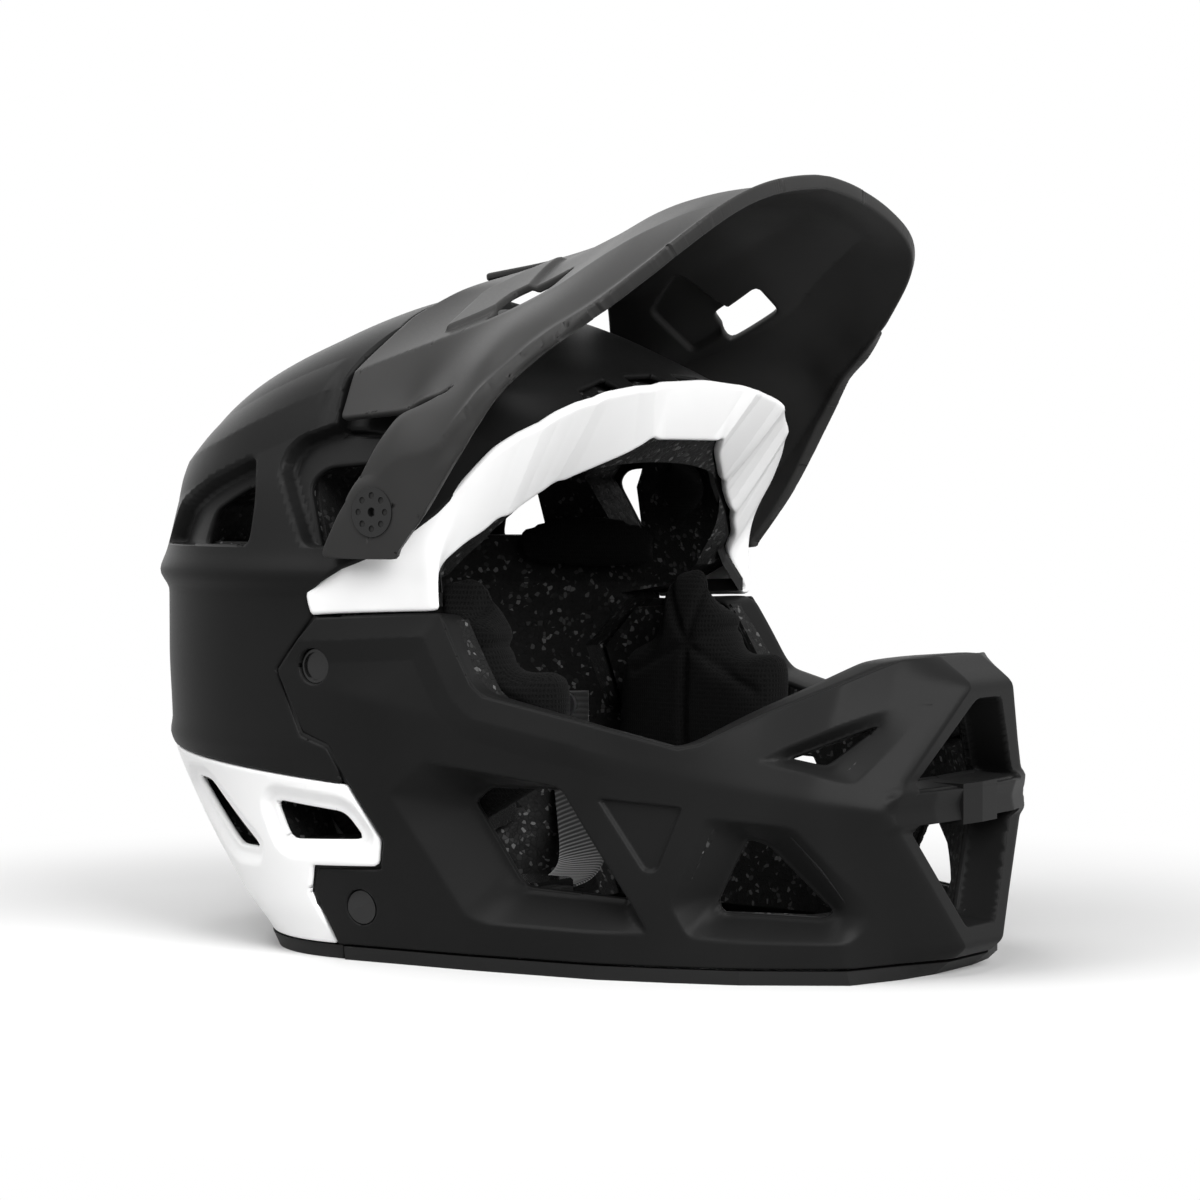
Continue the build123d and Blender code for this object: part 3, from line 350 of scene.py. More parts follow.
class Finish(Enum):
    """Every finish on the helmet."""

    SHELL = MouldedShell("shell_black", 0.0078, rough=0.45, specular=0.06)
    # The visor's level is partly its own black and partly painted sheen: it is lighter than the shell's to stand in
    # for the lamps' highlight on its sides.
    VISOR = MouldedShell("visor_black", 0.026, 0.01, rough=0.43, specular=0.06)
    WHITE = MouldedShell("shell_white", 0.80, rough=0.40, coat=0.03, cloud=0.02, grain_strength=0.12, specular=0.12)
    GLOSS = MouldedShell("gloss_black", 0.006, rough=0.16, coat=0.08, grain_strength=0.08, cloud=0.05, specular=0.3)
    SATIN = MouldedShell("satin_black", 0.010, rough=0.34, grain_strength=0.2, specular=0.25)
    RUBBER = MouldedShell("rubber_black", 0.008, rough=0.62, grain_scale=1600.0, specular=0.15)
    FOAM = BeadFoam("bead_foam")
    # The liner cloths' low levels are partly their own black and partly painted shade of the helmet's inside.
    MESH = SpacerCloth("liner_mesh")
    CLOSE = SpacerCloth("liner_close_mesh", pitch=1.6 * MM, level=0.0045)
    FLEECE = SpacerCloth("liner_fleece", Knit.FLEECE, level=0.005, sheen=0.06)
    STRAP = Webbing("strap_web")
    STEEL = Metal("zinc_steel", (0.55, 0.55, 0.57, 1.0))
    BRASS = Metal("brass", (0.75, 0.58, 0.28, 1.0), 0.28)


class Paint:
    """Shelf of finishes, each made once."""

    _made: dict[Finish, bpy.types.Material] = {}

    @classmethod
    def coat(cls, piece: bpy.types.Object, finish: Finish) -> bpy.types.Object:
        """Give a piece one finish in every slot."""
        if finish not in cls._made:
            cls._made[finish] = finish.value.build()
        slots = piece.data.materials
        if len(slots) == 0:
            slots.append(cls._made[finish])
        for index in range(len(slots)):
            slots[index] = cls._made[finish]
        return piece


# Surfaces
def smooth_rows(knots: Array, rows: Array, places: Array) -> Array:
    """Rows of values carried smoothly through their knots, without overshoot.

    A cubic Hermite curve whose slope at each knot is the harmonic mean of the slopes on both sides, or
    zero where they differ in sign.

    Args:
        knots: Rising parameter of each row.
        rows: One row of values for each knot.
        places: Parameters to work out.

    Returns:
        One row of values for each place.
    """
    step = np.diff(knots)[:, None]
    slope = np.diff(rows, axis=0) / step
    product = slope[:-1] * slope[1:]
    total = slope[:-1] + slope[1:]
    inner = np.where(product > 0, 2 * product / np.where(total == 0, 1, total), 0.0)
    tangent = np.vstack([slope[:1], inner, slope[-1:]])
    index = np.clip(np.searchsorted(knots, places, side="right") - 1, 0, len(knots) - 2)
    width = step[index]
    t = ((places - knots[index]) / width[:, 0])[:, None]
    return (
        (1 + 2 * t) * (1 - t) ** 2 * rows[index] + t * (1 - t) ** 2 * width * tangent[index]
        + t * t * (3 - 2 * t) * rows[index + 1] + t * t * (t - 1) * width * tangent[index + 1]
    )


def outline_distance(points: Array, outline: Array) -> Array:
    """Signed distance of points from a closed outline in a plane, positive inside.

    The least distance to any side, with its sign from the count of sides that a ray crosses.
    """
    closed = np.vstack([outline, outline[:1]])
    best = np.full(len(points), np.inf)
    inside = np.zeros(len(points), bool)
    for start, end in zip(closed, closed[1:]):
        side = end - start
        share = np.clip(((points - start) @ side) / (side @ side), 0, 1)
        best = np.minimum(best, np.linalg.norm(points - start - share[:, None] * side, axis=1))
        if start[1] != end[1]:
            cross = start[0] + (points[:, 1] - start[1]) / (end[1] - start[1]) * (end[0] - start[0])
            inside ^= ((points[:, 1] > start[1]) != (points[:, 1] > end[1])) & (points[:, 0] < cross)
    return np.where(inside, best, -best)


def ease(values: Array) -> Array:
    """Smooth step of values held between zero and one."""
    held = np.clip(values, 0, 1)
    return held * held * (3 - 2 * held)


def unit(rows: Array, least: float = 1e-15) -> Array:
    """Rows scaled to a length of one, unless they are shorter than the least."""
    return rows / np.maximum(np.linalg.norm(rows, axis=1, keepdims=True), least)


def lengths(line: Array) -> Array:
    """How far each point lies along a line of straight runs."""
    return np.concatenate([[0], np.cumsum(np.linalg.norm(np.diff(line, axis=0), axis=1))])


def cells(index: Array) -> Array:
    """Four corners of each cell of a grid of indices."""
    return np.stack([part.ravel() for part in (index[:-1, :-1], index[:-1, 1:], index[1:, 1:], index[1:, :-1])], 1)


def spread_sum(corners: Array, rows: Array, count: int) -> Array:
    """Sum of rows at each of a count of points, where every face or side adds its row to all its corners."""
    each = corners.shape[1]
    return np.stack([np.bincount(corners.ravel(), np.repeat(rows[:, axis], each), count) for axis in range(3)], 1)


class Sheet:
    """Outer face of a moulded piece: a grid of points that is split along lines, moved and clipped.

    Fields of the points are worked out on the plain surface, so a line drawn by one of them stays where
    it is however the surface is moved afterwards.
    """

    def __init__(self, grid: Array, closed: bool = False) -> None:
        """Index the triangles of a grid of points, rows going up and columns going round."""
        index = np.arange(grid.shape[0] * grid.shape[1]).reshape(grid.shape[:2])
        quads = cells(np.hstack([index, index[:, :1]]) if closed else index)
        self.faces = np.vstack([quads[:, :3], quads[:, [0, 2, 3]]])
        self.base = grid.reshape(-1, 3)
        self.move = np.zeros_like(self.base)
        self.normals = self.facing(self.base)

    def facing(self, points: Array) -> Array:
        """Normals at the corners: the sum of the triangles' cross products, scaled to one."""
        corners = points[self.faces]
        cross = np.cross(corners[:, 1] - corners[:, 0], corners[:, 2] - corners[:, 0])
        return unit(spread_sum(self.faces, cross, len(points)))

    def split(self, line: Field, clip: bool = False) -> "Sheet":
        """Put corners where a field crosses zero, and drop the part where it is negative if asked.

        A triangle that the line crosses becomes three: its odd corner's tip, and two for the rest. A new
        corner divides its side in the ratio of the field at the two ends.

        Args:
            line: Field of the plain surface's points.
            clip: Whether the negative part is dropped.

        Returns:
            The sheet itself.
        """
        value = line(self.base)
        value = np.where(np.abs(value) < NEAR_ZERO, NEAR_ZERO, value)
        inside = value[self.faces] > 0
        count = inside.sum(1)
        mixed = (count == 1) | (count == 2)
        odd = np.where(count == 1, inside.argmax(1), (~inside).argmax(1))
        turned = np.take_along_axis(self.faces, (odd[:, None] + np.arange(3)) % 3, axis=1)[mixed]
        tip_kept = count[mixed] == 1
        sides, back = np.unique(
            np.sort(np.vstack([turned[:, [0, 1]], turned[:, [0, 2]]]), axis=1), axis=0, return_inverse=True)
        back = back.ravel() + len(self.base)
        first, second = value[sides[:, 0]], value[sides[:, 1]]
        share = np.clip(first / (first - second), LEAST_SHARE, 1 - LEAST_SHARE)[:, None]
        near, far = back[: len(turned)], back[len(turned):]
        apex, left, right = turned.T
        tips = np.stack([apex, near, far], 1)
        rests = [np.stack([near, left, right], 1), np.stack([near, right, far], 1)]
        if clip:
            faces = [self.faces[count == 3], tips[tip_kept], *(rest[~tip_kept] for rest in rests)]
        else:
            faces = [self.faces[~mixed], tips, *rests]
        used, packed = np.unique(np.vstack(faces), return_inverse=True)
        for name in ("base", "move", "normals"):
            rows = getattr(self, name)
            new = rows[sides[:, 0]] * (1 - share) + rows[sides[:, 1]] * share
            setattr(self, name, np.vstack([rows, new])[used])
        self.faces = packed.reshape(-1, 3)
        self.normals = unit(self.normals)
        return self

    def keep(self, line: Field, margin: float = 0.0) -> "Sheet":
        """Keep where a field is more than a margin."""
        return self.split(lambda points: line(points) - margin, clip=True)

    def terrace(self, line: Field, depth: float, width: float, along: Sequence[float] | None = None,
                steps: int = 3) -> "Sheet":
        """Sink the part where a field is positive, down a rounded slope of a width.

        The depth is the smooth step of the field over the width.

        Args:
            line: Field of the plain surface's points, a distance from the upper edge.
            depth: How far the part sinks.
            width: Width of the slope.
            along: Direction in which it sinks, or none for straight in.
            steps: How many strips the slope has.

        Returns:
            The sheet itself.
        """
        for level in np.linspace(0, width, steps + 1):
            self.split(lambda points: line(points) - level)
        amount = depth * ease(line(self.base) / width)
        self.move += amount[:, None] * (-self.normals if along is None else np.asarray(along, float))
        return self

    def crease(self, line: Field, height: float, width: float, where: Field) -> "Sheet":
        """Raise a sharp fold along a line, as a tent whose sides fall evenly to nothing over a width.

        Args:
            line: Field of the plain surface's points that is zero on the fold, in metres.
            height: How far the fold stands out.
            width: How far its sides reach.
            where: Share of the height at each point, which fades the fold's ends out.

        Returns:
            The sheet itself.
        """
        for level in (-width, 0.0, width):
            self.split(lambda points: line(points) - level)
        tent = np.clip(1 - np.abs(line(self.base)) / width, 0, None) * where(self.base)
        self.move += (height * tent)[:, None] * self.normals
        return self

    def shell(self, wall: "float | Array", lip: float, steps: int = 3) -> "Body":
        """Closed body of the sheet: outer face, inner face and an edge with a rounded lip.

        The lip's rows are quarter circles swept from the edge: outward in the surface by radius times the
        sine, and inward by radius times one less the cosine, first down from the outer face and then
        back to the inner one.

        Args:
            wall: Thickness, one or one for each point.
            lip: Radius of the rounding.
            steps: Rows in each quarter circle.

        Returns:
            The body.
        """
        outer = self.base + self.move
        size = len(outer)
        wall = np.broadcast_to(np.asarray(wall, float), size)
        sides = np.vstack([self.faces[:, [0, 1]], self.faces[:, [1, 2]], self.faces[:, [2, 0]]])
        _, first, count = np.unique(sides.min(1) * size + sides.max(1), return_index=True, return_counts=True)
        rim = sides[first[count == 1]]
        out = np.cross(outer[rim[:, 1]] - outer[rim[:, 0]], self.facing(outer)[rim[:, 0]])
        edge = np.unique(rim)
        aim, down, depth = spread_sum(rim, out, size)[edge], self.normals[edge], wall[edge][:, None]
        away = unit(aim - (aim * down).sum(1, keepdims=True) * down, 1e-12)
        turns = np.linspace(0, math.pi / 2, steps + 1)[1:]
        rows = [outer[edge] + lip * math.sin(t) * away - lip * (1 - math.cos(t)) * down for t in turns]
        rows += [outer[edge] + lip * math.sin(t) * away - (depth - lip * (1 - math.cos(t))) * down
                 for t in turns[::-1]]
        place = np.full(size, -1)
        place[edge] = np.arange(len(edge))
        begin, end = (
            [ends, *(2 * size + k * len(edge) + place[ends] for k in range(len(rows))), ends + size]
            for ends in rim.T)
        strips = [np.stack([end[k], begin[k], begin[k + 1], end[k + 1]], 1) for k in range(len(rows) + 1)]
        inner = outer - wall[:, None] * self.normals
        return Body(np.vstack([outer, inner, *rows]), [self.faces, self.faces[:, ::-1] + size, *strips])


@dataclass
class Body:
    """Points and tables of faces of one closed shape, or of several."""

    points: Array
    tables: list[Array]

    def __add__(self, other: "Body") -> "Body":
        """Both bodies as one."""
        return Body(np.vstack([self.points, other.points]),
                    self.tables + [table + len(self.points) for table in other.tables])

    def reflected(self) -> "Body":
        """Mirror image across the middle of the helmet."""
        return Body(self.points * [-1, 1, 1], [table[:, ::-1] for table in self.tables])


def tube(sections: Array, caps: bool = True) -> Body:
    """Closed body through rings of points, with a fan at each end.

    Args:
        sections: Rings (sections, points round, 3), counterclockwise seen against the way they run.
        caps: Whether the ends are closed; otherwise the last ring joins the first.

    Returns:
        The body.
    """
    count, around = sections.shape[:2]
    index = np.arange(count * around).reshape(count, around)
    if not caps:
        index = np.vstack([index, index[:1]])
    ring = np.hstack([index, index[:, :1]])
    points, tables = sections.reshape(-1, 3), [cells(ring)]
    if caps:
        first, last, middle = ring[0], ring[-1], len(points)
        tables += [np.stack([first[1:], first[:-1], np.full(around, middle)], 1),
                   np.stack([last[:-1], last[1:], np.full(around, middle + 1)], 1)]
        points = np.vstack([points, sections[0].mean(0), sections[-1].mean(0)])
    return Body(points, tables)


def whole(faces: Array) -> Array:
    """Which faces have no corner twice."""
    return (np.diff(np.sort(faces, axis=1), axis=1) != 0).all(1)


def make_mesh(name: str, body: Body, mapped: Array | None = None, merge: float = 0.002 * MM) -> bpy.types.Object:
    """Object of a body, moved into the frame, with points that coincide merged and flat faces dropped.

    Args:
        name: Name of the object and its mesh.
        body: The shape.
        mapped: UV place of each point, where the piece has one; its points aren't merged then.
        merge: Pitch to which points are rounded to find the ones that coincide.

    Returns:
        The object, linked to the scene.
    """
    points, tables = body.points - [0, MIDDLE_Y, 0], body.tables
    if mapped is None:
        _, first, back = np.unique(np.round(points / merge), axis=0, return_index=True, return_inverse=True)
        points, back = points[first], back.ravel()
        tables = [back[table] for table in tables]
    fours = np.vstack([table for table in tables if table.shape[1] == 4])
    full = whole(fours)
    bent = fours[~full]
    threes = np.vstack([*(table for table in tables if table.shape[1] == 3), bent[:, :3], bent[:, [0, 2, 3]]])
    kept = [fours[full], threes[whole(threes)]]
    corners = np.concatenate([table.ravel() for table in kept]).astype(np.int32)
    totals = np.repeat([4, 3], [len(table) for table in kept])
    mesh = bpy.data.meshes.new(name)
    mesh.vertices.add(len(points))
    mesh.vertices.foreach_set("co", np.ascontiguousarray(points, np.float32).ravel())
    mesh.loops.add(len(corners))
    mesh.loops.foreach_set("vertex_index", corners)
    mesh.polygons.add(len(totals))
    mesh.polygons.foreach_set("loop_start", (np.cumsum(totals) - totals).astype(np.int32))
    mesh.update(calc_edges=True)
    if mapped is not None:
        layer = mesh.uv_layers.new(name="surface")
        layer.data.foreach_set("uv", mapped[corners].astype(np.float32).ravel())
    mesh.shade_smooth()
    return put(name, mesh)


def put(name: str, data: bpy.types.ID) -> bpy.types.Object:
    """Object of a mesh, lamp or camera, linked to the scene."""
    piece = bpy.data.objects.new(name, data)
    bpy.context.scene.collection.objects.link(piece)
    return piece


# Outlines and routes, in shares of half the head's length
HEAD_SHARES = [
    (-0.90, -0.50, 1.10, 0.96, 0.51, 0.60, 0.60),
    (0.00, -0.50, 1.17, 1.01, 0.51, 0.60, 0.60),
    (0.20, -0.50, 1.33, 1.07, 0.51, 0.60, 0.62),
    (0.43, -0.50, 1.51, 1.115, 0.51, 0.60, 0.64),
    (0.74, -0.50, 1.70, 1.15, 0.51, 0.60, 0.66),
    (0.80, -0.50, 1.725, 1.165, 0.51, 0.60, 0.66),
    (0.86, -0.50, 1.71, 1.17, 0.51, 0.60, 0.66),
    (1.14, -0.55, 1.72, 1.18, 0.51, 0.62, 0.66),
    (1.35, -0.60, 1.72, 1.18, 0.51, 0.68, 0.66),
    (1.43, -0.64, 1.755, 1.21, 0.51, 0.72, 0.66),
    (1.51, -0.68, 1.73, 1.185, 0.51, 0.76, 0.66),
    (1.76, -0.65, 1.67, 1.12, 0.51, 0.80, 0.66),
    (1.91, -0.60, 1.60, 1.065, 0.51, 0.80, 0.64),
    (2.03, -0.56, 1.50, 1.02, 0.50, 0.77, 0.62),
    (2.14, -0.50, 1.35, 0.97, 0.48, 0.68, 0.60),
    (2.23, -0.36, 1.18, 0.895, 0.46, 0.62, 0.58),
    (2.33, -0.16, 0.95, 0.75, 0.43, 0.58, 0.56),
    (2.42, 0.02, 0.78, 0.52, 0.41, 0.56, 0.56),
    (2.48, 0.18, 0.66, 0.28, 0.41, 0.56, 0.56),
    (2.515, 0.36, 0.50, 0.08, 0.42, 0.56, 0.56),
    (2.52, 0.43, 0.43, 0.0, 0.43, 0.56, 0.56),
]
CHIN_SHARES = [
    ((1.03, 0.72, 0.0), (1.185, 0.72, 1.08), (1.19, 0.72, 1.40)),
    ((1.03, 0.44, 0.0), (1.19, 0.42, 1.02), (1.19, 0.42, 1.38)),
    ((1.015, 0.20, 0.0), (1.18, 0.24, 0.99), (1.08, -0.03, 1.32)),
    ((1.00, -0.10, 0.0), (1.115, -0.16, 0.91), (1.10, -0.22, 1.03)),
    ((0.94, -0.62, 0.0), (1.02, -0.65, 0.84), (1.00, -0.66, 0.98)),
    ((0.86, -0.88, 0.0), (0.91, -0.95, 0.79), (0.89, -0.955, 0.92)),
    ((0.77, -1.12, 0.0), (0.82, -1.16, 0.73), (0.70, -1.17, 0.97)),
    ((0.56, -1.45, 0.0), (0.71, -1.37, 0.67), (0.52, -1.40, 1.07)),
    ((0.33, -1.53, 0.0), (0.555, -1.56, 0.62), (0.31, -1.52, 1.145)),
]
FRONT_SHARES = [(0.15, -1.56), (0.145, -1.69), (0.535, -1.575), (0.16, -1.72), (0.155, -1.58)]
CHIN_LEVEL_SHARES = [(0.0, 0.0), (0.104, 0.0), (0.934, 0.20), (1.395, 0.20), (1.466, 0.20)]
RIM_SHARES = [
    (0.46, 1.28), (-0.043, 1.305), (-0.195, 1.05), (-0.24, 1.01), (-0.64, 0.92),
    (-0.945, 0.84), (-1.01, 0.855), (-1.19, 0.965), (-1.40, 1.07), (-1.52, 1.15), (-1.58, 1.16),
]
SEAM_SHARES = [
    (0.46, 1.28), (0.645, 1.08), (0.54, 0.84), (0.425, 0.80), (0.37, 0.69), (0.225, 0.46),
    (0.245, 0.36), (0.535, 0.35), (0.565, 0.25), (0.45, 0.0),
]
WHITE_LINE_SHARES = [(0.355, 0.662), (1.90, 0.785)]
BAND_SHARES = [
    ((1.19, 0.48, 1.36), (1.19, 0.46, 1.30)),
    ((1.18, 0.33, 1.46), (1.15, 0.25, 1.31)),
    ((1.15, 0.13, 1.53), (1.08, -0.04, 1.32)),
    ((1.09, -0.04, 1.66), (1.03, 0.01, 1.43)),
    ((1.05, -0.15, 1.77), (0.99, 0.01, 1.49)),
    ((0.99, -0.235, 1.88), (0.955, -0.05, 1.55)),
    ((0.85, -0.34, 1.98), (0.80, -0.13, 1.65)),
    ((0.65, -0.44, 2.07), (0.62, -0.20, 1.76)),
    ((0.37, -0.49, 2.115), (0.34, -0.35, 1.88)),
    ((0.28, -0.495, 2.125), (0.25, -0.42, 1.94)),
    ((0.0, -0.50, 2.14), (0.0, -0.42, 1.94)),
]
WINDOW_SHARES = {
    "rear": (
        (1.00, -0.35, 0.45), (0.113, 0.994, -0.014), (0.986, -0.114, -0.121),
        [(0.36, 0.33), (0.53, 0.20), (0.25, -0.24), (0.17, -0.27), (-0.48, -0.29), (-0.18, 0.24)],
        [(0.18, 0.21), (0.26, 0.15), (0.09, -0.14), (0.05, -0.17), (-0.38, -0.20), (-0.13, 0.21)],
        0.12,
    ),
    "front": (
        (0.82, -1.05, 0.40), (0.402, 0.913, -0.066), (0.901, -0.408, -0.147),
        [(0.02, 0.20), (-0.29, 0.15), (-0.57, -0.22), (-0.46, -0.29), (0.11, -0.23), (0.17, -0.11)],
        [(-0.11, 0.10), (-0.19, 0.07), (-0.41, -0.19), (-0.37, -0.22), (0.00, -0.18), (0.02, -0.13)],
        0.10,
    ),
    "upper": (
        (0.65, -1.37, 0.86), (0.555, 0.810, 0.190), (0.766, -0.587, 0.262),
        [(0.21, -0.10), (-0.37, 0.27), (-0.41, 0.25), (-0.16, -0.11), (-0.12, -0.12)],
        [(0.10, -0.06), (-0.20, 0.125), (-0.22, 0.115), (-0.06, -0.06), (-0.04, -0.065)],
        0.08,
    ),
}
PLUG_SHARES = [(0.46, 1.098), (0.342, 0.204)]
BLIND_SHARES = [(-0.31, 0.21), (-0.63, 0.17), (-0.52, -0.07), (-0.47, -0.07)]
GRILLE_UPPER_SHARES = [(0.095, 1.00), (0.40, 0.675)]
GRILLE_LOWER_SHARES = [(0.40, 0.565), (0.11, 0.17)]
CROSS_BAR_SHARES = [(0.0, -1.66), (0.30, -1.64), (0.50, -1.585)]
VENT_SHARES = [
    ([(0.52, 1.53), (0.71, 1.84), (0.66, 1.94), (0.46, 2.00), (0.16, 1.97), (0.31, 1.78), (0.33, 1.53)],
     [(0.48, 1.545), (0.59, 1.79), (0.53, 1.85), (0.26, 1.87), (0.34, 1.75), (0.36, 1.545)]),
    ([(0.785, 1.53), (0.79, 1.72), (0.84, 1.885), (1.12, 1.79), (1.36, 1.69), (1.46, 1.53)],
     [(0.82, 1.545), (0.82, 1.78), (0.90, 1.785), (1.14, 1.68), (1.18, 1.545)]),
]
WHITE_VENT_SHARES = [
    [(1.27, 0.63), (1.13, 0.63), (0.83, 0.39), (1.00, 0.385)],
    [(0.72, 0.585), (0.38, 0.555), (0.30, 0.455), (0.66, 0.437)],
]
LOUVRE_SHARES = [
    [(0.06, 2.17), (0.30, 2.165), (0.27, 2.23), (0.06, 2.24)],
    [(0.38, 2.15), (0.62, 2.10), (0.58, 2.17), (0.38, 2.22)],
]
TOP_VENT_SHARES = [(0.10, 0.62), (0.26, 0.62), (0.32, 0.95), (0.12, 1.02)]
CROWN_CREASE_SHARES = [(0.52, 2.115), (1.08, 1.925), (1.62, 1.78)]
BROW_CREASE_SHARES = [((0.355, 2.11), (0.25, 1.94)), ((0.66, 2.07), (0.60, 1.77)), ((0.86, 1.99), (0.80, 1.66))]
BROW_NOTCH_SHARES = (0.25, 0.60, 0.82)
STEP_SHARES = [
    (-2.0, 1.80), (0.47, 1.97), (0.49, 2.16), (0.43, 2.36), (0.55, 2.50), (0.55, 3.00), (-2.0, 3.00),
]
AXIS_SHARES = (0.14, 1.666)
SHELL_WALL = 2.6 * MM
BAND_WALL = 3.4 * MM
SEAM_GAP = 1.2 * MM
TRIM_TOP = 5.3 * MM
VISOR_RECESS = 7.0 * MM
AXIS_Y, AXIS_Z = (value * HALF_HEAD for value in AXIS_SHARES)
# Past the helmet on each side, in metres, to close outlines in side view
BEHIND, AHEAD, BELOW, ABOVE = 0.2, -0.3, -0.1, 0.3
# Section of the chin bar's deck in millimetres: in from the rim, and down from its top
DECK_PROFILE = [
    (0.4, 0.5), (1.2, 0.1), (4, 0.0), (12, 0.6), (17.5, 1.0), (18.7, 1.5), (19.0, 2.4), (18.4, 3.6), (10, 3.4),
    (1.0, 3.2), (0.5, 2.2),
]

# Visor, in shares: where its facets meet and its outline, from the arm's foot up and forward
FOLD_SHARES = [
    (1.235, 0.19, 1.525), (1.235, 0.08, 1.66), (1.23, -0.025, 1.76), (1.215, -0.15, 1.90), (1.19, -0.24, 2.00),
    (1.16, -0.33, 2.10), (1.10, -0.43, 2.20), (1.065, -0.53, 2.27), (0.995, -0.67, 2.36), (0.91, -0.81, 2.48),
    (0.845, -0.893, 2.565), (0.79, -0.944, 2.63), (0.70, -0.98, 2.695), (0.60, -0.986, 2.75), (0.0, -1.017, 2.905),
]
FRONT_EDGE_SHARES = [
    (1.185, 0.04, 1.525), (1.185, -0.08, 1.66), (1.185, -0.15, 1.76), (1.17, -0.235, 1.90), (1.155, -0.30, 2.00),
    (1.13, -0.375, 2.10), (1.08, -0.47, 2.20), (1.04, -0.565, 2.26), (0.98, -0.712, 2.375), (0.895, -0.845, 2.50),
    (0.845, -0.913, 2.565), (0.79, -0.962, 2.63), (0.70, -0.995, 2.695), (0.60, -1.00, 2.75), (0.47, -1.005, 2.81),
    (0.30, -1.012, 2.875), (0.12, -1.02, 2.905), (0.0, -1.02, 2.905),
]
REAR_EDGE_SHARES = [
    (1.21, 0.375, 1.525), (1.21, 0.30, 1.66), (1.20, 0.225, 1.76), (1.175, 0.145, 1.90), (1.135, 0.07, 2.00),
    (1.105, -0.03, 2.047), (1.08, -0.13, 2.10), (1.06, -0.10, 2.055), (1.04, 0.17, 2.01), (1.03, 0.435, 1.995),
    (0.955, 0.435, 2.15), (0.90, 0.43, 2.19), (0.66, 0.385, 2.385), (0.40, 0.24, 2.505), (0.25, 0.08, 2.575),
    (0.19, 0.03, 2.59), (0.17, 0.10, 2.585), (0.165, 0.42, 2.555),
]
ROOF_SHARES = [
    (0.55, [(0.97, 2.11), (0.57, 2.44), (0.21, 2.54)]),
    (0.45, [(0.955, 2.15), (0.55, 2.45), (0.20, 2.55)]),
    (0.10, [(0.885, 2.27), (0.45, 2.51), (0.15, 2.60)]),
    (-0.13, [(0.86, 2.34), (0.45, 2.56), (0.15, 2.65)]),
    (-0.38, [(0.82, 2.45), (0.42, 2.66), (0.12, 2.73)]),
    (-0.55, [(0.74, 2.57), (0.40, 2.74), (0.12, 2.79)]),
    (-0.70, [(0.68, 2.66), (0.38, 2.79), (0.12, 2.835)]),
    (-0.85, [(0.60, 2.745), (0.34, 2.84), (0.12, 2.87)]),
    (-1.00, [(0.52, 2.79), (0.30, 2.865), (0.12, 2.885)]),
    (-1.10, [(0.49, 2.80), (0.28, 2.87), (0.12, 2.89)]),
]
SIDE_POINT_SHARES = [
    (1.03, 0.45, 1.99), (1.05, 0.10, 2.02), (1.09, -0.13, 2.10), (1.21, 0.375, 1.525), (1.21, 0.30, 1.66),
    (1.22, 0.16, 1.64), (1.22, 0.26, 1.56), (1.215, 0.14, 1.74),
    (1.20, 0.225, 1.76), (1.175, 0.145, 1.90), (1.135, 0.07, 2.00), (1.10, -0.30, 2.20), (1.01, -0.50, 2.34),
]
SLOT_SHARES = [(0.84, -0.08), (0.68, -0.10), (0.62, -0.34), (0.79, -0.34)]
STAR_SHARES = ((0.02, 1.12), (0.30, 1.00), (0.16, 1.38), (-0.06, 1.44), (-0.22, 1.22), (-0.30, 0.94), (0.04, 0.62))
STRAP_SHARES = [
    (0.818, 0.70, 0.895), (0.807, 0.69, 0.72), (0.73, 0.60, 0.46), (0.50, 0.42, 0.23), (0.30, 0.35, 0.18),
    (0.155, 0.32, 0.17),
]
SCOOP_SHARES = [(0.85, 0.11), (0.55, 0.13), (0.35, -0.13), (0.55, -0.16), (0.70, -0.20), (0.80, -0.06)]


def sizes(table: Iterable[Sequence[float]]) -> Array:
    """Table of shares as metres."""
    return np.array(list(table), float) * HALF_HEAD


def rounded(outline: Array, radius: float, steps: int = 4, most: float = 0.45) -> Array:
    """Closed outline with its corners drawn as quadratic arcs.

    Each arc leaves its side a radius before the corner, or at the most allowed share of a shorter side, and
    bends to the corner's other side by (1-t)^2 a + 2t(1-t) corner + t^2 b.

    Args:
        outline: Corners of the outline.
        radius: How far from a corner its arc starts.
        steps: Points of each arc.
        most: Share of a side that an arc may take.

    Returns:
        Points of the rounded outline.
    """
    before, after = np.roll(outline, 1, 0) - outline, np.roll(outline, -1, 0) - outline
    t = np.linspace(0, 1, steps)[:, None]
    arcs = []
    for corner, *ways in zip(outline, before, after):
        a, b = (corner + way * min(most, radius / np.linalg.norm(way)) for way in ways)
        arcs.append((1 - t) ** 2 * a + 2 * t * (1 - t) * corner + t * t * b)
    return np.vstack(arcs)


def side_field(outline: Array) -> Field:
    """Distance inside an outline in side view, in y and z."""
    return lambda points: outline_distance(points[:, 1:], outline)


def front_field(outline: Array) -> Field:
    """Distance inside an outline in front view, for the forward half of the helmet."""
    return lambda points: np.where(points[:, 1] < 0.2 * HALF_HEAD, outline_distance(points[:, [0, 2]], outline), -1.0)


def less(line: Field) -> Field:
    """The reverse of a field."""
    return lambda points: -line(points)


def blur(rows: Array, sigma: float, axis: int = 0) -> Array:
    """Rows softened by a Gaussian of a width in steps, with the ends held."""
    reach = int(math.ceil(3 * sigma))
    weights = np.exp(-0.5 * (np.arange(-reach, reach + 1) / sigma) ** 2)
    weights /= weights.sum()
    moved = np.moveaxis(rows, axis, 0)
    first, last = moved[:1], moved[-1:]
    padded = np.concatenate([2 * first - moved[reach:0:-1], moved, 2 * last - moved[-2:-reach - 2:-1]])
    soft = sum(w * padded[k: k + len(moved)] for k, w in enumerate(weights))
    return np.moveaxis(soft, 0, axis)


def interp_rows(places: Array, knots: Array, rows: Array) -> Array:
    """Rows of values at places along straight runs between knots."""
    return np.stack([np.interp(places, knots, column) for column in rows.T], 1)


